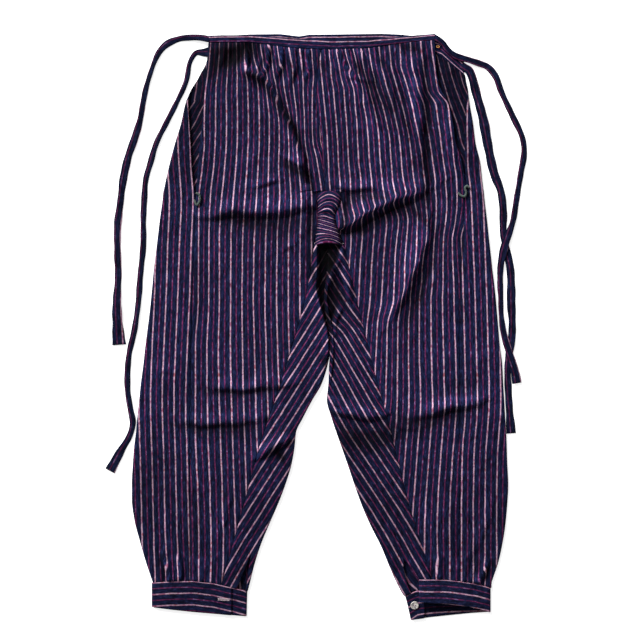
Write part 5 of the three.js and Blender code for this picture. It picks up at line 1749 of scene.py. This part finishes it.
def weave_group():
    """Plain weave of single yarns, with the slubs of hand-fed cotton."""
    w, given, result = new_group(
        "plain weave",
        [("Cloth", VECTOR, None), ("Threads", FLOAT, 36.0), ("Slub", FLOAT, 0.6)],
        [("Height", FLOAT)],
    )
    u, v = w.apart(given["Cloth"])
    turn = w.times(given["Threads"], math.pi)
    warp, weft = (w.math("SINE", w.times(way, turn)) for way in (u, v))
    slub = w.streaks(u, v, 16.0, 3.0, 0.0, 3.0, 0.6)
    height = w.plus(w.times(w.times(warp, weft), 0.5), w.times(slub, given["Slub"]))
    w.put(result["Height"], height)
    return w.tree


def wear_group():
    """Soft fading from washing, broad lighter and darker places over the cloth, times the painted
    light and shade that it is given.
    """
    w, given, result = new_group(
        "washed unevenness and painted shade",
        [
            ("Place", VECTOR, None),
            ("Colour", COLOUR, (1, 1, 1, 1)),
            ("Wear", FLOAT, 1.0),
            ("Amount", FLOAT, 0.15),
        ],
        [("Colour", COLOUR)],
    )
    fade_and_shade = w.range(w.noise(given["Place"], 14.0, 3.0, 0.55), 0.35, 0.65, -1.0, 1.0, "LINEAR")
    gain = w.times(w.plus(1.0, w.times(fade_and_shade, given["Amount"])), given["Wear"])
    w.put(result["Colour"], w.gained(given["Colour"], gain))
    return w.tree


def crumple_group():
    """The shallow dents and short creases of cloth that has been worn and laid down."""
    w, given, result = new_group(
        "loose crumple",
        [("Place", VECTOR, None), ("Amount", FLOAT, 5.0)],
        [("Height", FLOAT)],
    )
    x, y = w.apart(given["Place"])
    dents, creases = w.streaks(x, y, 46.0, 30.0), w.streaks(x, y, 105.0, 42.0, 4.0)
    w.put(result["Height"], w.times(w.plus(dents, w.times(creases, 0.35)), given["Amount"]))
    return w.tree


STRIPES = stripe_group()
CRUMPLE = crumple_group()
WEAVE = weave_group()
WASH_AND_SHADE = wear_group()


CRUMPLE_DEPTH = 60.0
PINK_HALF_WIDTH = 0.05


def new_finish(name):
    """A material with its wiring, its shader and the place on the object."""
    material = bpy.data.materials.new(name)
    material.use_nodes = True
    w = Wiring(material.node_tree)
    place = w.node("ShaderNodeTexCoord").outputs["Object"]
    return material, w, w.tree.nodes["Principled BSDF"], place


def striped_cloth(name, depth=0.8, magenta=1.0):
    """The cotton: stripes, washed unevenness with the painted light and shade, weave and crumple.
    Less depth is darker.
    """
    material, w, shader, place = new_finish(name)
    cloth = w.node("ShaderNodeUVMap", uv_map="cloth").outputs[0]
    stripes = w.group(
        STRIPES,
        Cloth=cloth,
        Depth=depth,
        Magenta_Strength=magenta,
        Pink_Half_Width=PINK_HALF_WIDTH,
    )
    # The painted light and shade from the mesh attribute darkens the stripes' colour.
    fade_and_shade = w.node("ShaderNodeAttribute", attribute_name="wear").outputs["Fac"]
    shaded = w.group(WASH_AND_SHADE, Place=place, Wear=fade_and_shade, Colour=stripes["Colour"])
    w.put(shader.inputs["Base Color"], shaded["Colour"])
    weave = w.group(WEAVE, Cloth=cloth)
    crumple = w.group(CRUMPLE, Place=place, Amount=CRUMPLE_DEPTH)
    height = w.plus(weave["Height"], w.times(stripes["Raised"], 0.5))
    w.bumped(shader, w.plus(height, crumple["Height"]), 0.35, 0.25)
    shader.inputs["Roughness"].default_value = 0.7
    shader.inputs["Specular IOR Level"].default_value = 0.04
    shader.inputs["Sheen Weight"].default_value = 0.01
    shader.inputs["Sheen Roughness"].default_value = 0.5
    return material


def thread_finish(name, dark, light):
    """Cotton thread, its fibres a little lighter and darker."""
    material, w, shader, place = new_finish(name)
    fibres = w.noise(place, 900.0, 3.0, 0.6)
    w.put(shader.inputs["Base Color"], w.ramp(fibres, [(0.35, *dark), (0.65, *light)]))
    w.bumped(shader, fibres, 0.4, 0.2)
    shader.inputs["Roughness"].default_value = 0.75
    return material


PEARL_CLOUD = [
    (0.30, 62, 60, 66),
    (0.45, 132, 128, 126),
    (0.58, 190, 182, 174),
    (0.72, 118, 122, 132),
]


def pearl_finish():
    material, w, shader, place = new_finish("pearl shell")
    cloud = w.noise(place, 260.0, 4.0, 0.6)
    w.put(shader.inputs["Base Color"], w.ramp(cloud, PEARL_CLOUD))
    w.put(shader.inputs["Roughness"], w.range(cloud, 0.3, 0.7, 0.18, 0.4))
    shader.inputs["Coat Weight"].default_value = 0.4
    return material


COTTON_FACE = striped_cloth("striped cotton")
COTTON_INSIDE = striped_cloth("striped cotton inside", depth=0.4, magenta=0.6)
BAND_FACE = striped_cloth("striped cotton band", magenta=0.8)
CUFF_FACE = striped_cloth("striped cotton cuff", depth=0.5, magenta=0.9)
TIE_FACE = striped_cloth("striped cotton tie", depth=0.5, magenta=0.8)
TACK_THREAD = thread_finish("dark green thread", (34, 44, 42), (88, 102, 96))
PALE_THREAD = thread_finish("pale thread", (150, 128, 140), (206, 190, 196))
OCHRE_THREAD = thread_finish("ochre thread", (150, 92, 40), (198, 140, 70))
PEARL = pearl_finish()


# ---- making the garment ------------------------------------------------------------------------

made = {
    "front_left": front_panel(LEFT, "front_left"),
    "front_right": front_panel(RIGHT, "front_right"),
    "back_left": back_panel(LEFT, "back_left"),
    "back_right": back_panel(RIGHT, "back_right"),
    "gusset_left": gusset(LEFT, "gusset_left"),
    "gusset_right": gusset(RIGHT, "gusset_right"),
    "crotch_strip": crotch_strip("crotch_strip"),
    "front_waistband": waistband(FRONT_BAND, BAND_FRONT_LEVEL, "front_waistband", 0.84),
    "back_waistband": waistband(BACK_BAND, BAND_BACK_LEVEL, "back_waistband", -0.3),
    "cuff_left": cuff_band(LEFT_CUFF, "cuff_left"),
    "cuff_right": cuff_band(RIGHT_CUFF, "cuff_right"),
    "tie_front_left": tie(TIE_FRONT_LEFT, "tie_front_left", 0.33, 0.3),
    "tie_back_left": tie(TIE_BACK_LEFT, "tie_back_left", 0.38, 1.7),
    "tie_front_right": tie(TIE_FRONT_RIGHT, "tie_front_right", 0.34, 2.6, 7.0),
    "tie_back_right": tie(TIE_BACK_RIGHT, "tie_back_right", 0.42, 4.1, 10.0),
}
tack(TACK_LEFT, LEFT, "tack_left")
tack(TACK_RIGHT, RIGHT, "tack_right")
button("button_right")
button_thread()
buttonhole()
thread_ends()

# The cut of each cloth piece: width, length and, where it isn't an oblong, its flat area, in m.
CUTS = table("name wide long area", """
front_left 0.212 0.854 0.128
front_right 0.234 0.852 0.129
back_left 0.33 0.846 0.228
back_right 0.33 0.853 0.213
gusset_left 0.14 0.547 0.055
gusset_right 0.175 0.553 0.073
crotch_strip 0.036 0.165 0
front_waistband 0.356 0.0137 0
back_waistband 0.405 0.0223 0
cuff_left 0.305 0.046 0
cuff_right 0.27 0.042 0
tie_front_left 0.012 0.565 0
tie_back_left 0.010 0.725 0
tie_front_right 0.0107 0.62 0
tie_back_right 0.0137 0.58 0
""")

# ---- floor, light and camera -------------------------------------------------------------------


FLOOR_SIZE, FLOOR_DROP = 40, 0.0004
FLOOR_WHITE = (0.96, 0.96, 0.955, 1)


def floor():
    bpy.ops.mesh.primitive_plane_add(size=FLOOR_SIZE, location=(0, 0, -FLOOR_DROP))
    ground = bpy.context.object
    ground.name = "floor"
    material = bpy.data.materials.new("pale floor")
    material.use_nodes = True
    shader = material.node_tree.nodes["Principled BSDF"]
    shader.inputs["Base Color"].default_value = FLOOR_WHITE
    shader.inputs["Roughness"].default_value = 0.9
    shader.inputs["Emission Color"].default_value = (1, 1, 1, 1)
    shader.inputs["Emission Strength"].default_value = 0.7
    ground.data.materials.append(material)


def aim(x, y, z):
    """The turn that points a lamp at x, y, z down to the middle of the floor."""
    level = math.hypot(x, y)
    return (math.atan2(level, z), 0, math.atan2(y, x) + math.pi / 2)


def lamp(name, kind, way, energy):
    """A lamp that shines from x, y, z on the middle of the floor."""
    data = bpy.data.lights.new(name, kind)
    data.energy = energy
    item = set_out(name, data)
    item.location = way
    item.rotation_euler = aim(*way)
    return data


def studio():
    world = bpy.data.worlds.new("soft room")
    world.use_nodes = True
    sky = world.node_tree.nodes["Background"]
    sky.inputs[0].default_value = (1, 1, 1, 1)
    sky.inputs[1].default_value = 0.18
    bpy.context.scene.world = world
    bpy.context.scene.view_settings.view_transform = "Standard"
    lamp("key light", "SUN", (-0.6, 0.8, 0.58), 6.2).angle = math.radians(26)
    overhead = lamp("overhead", "AREA", (0.3, -0.2, 2.6), 6)
    overhead.shape, overhead.size = "SQUARE", 2.0


CAMERA_AT = (0.00587, 0.01059, 2.802)


def camera():
    lens = bpy.data.cameras.new("camera")
    lens.lens = 100
    lens.sensor_width = 36
    lens.clip_end = 20
    item = set_out("camera", lens)
    item.location = CAMERA_AT
    bpy.context.scene.camera = item


floor()
studio()
camera()
bpy.context.view_layer.update()
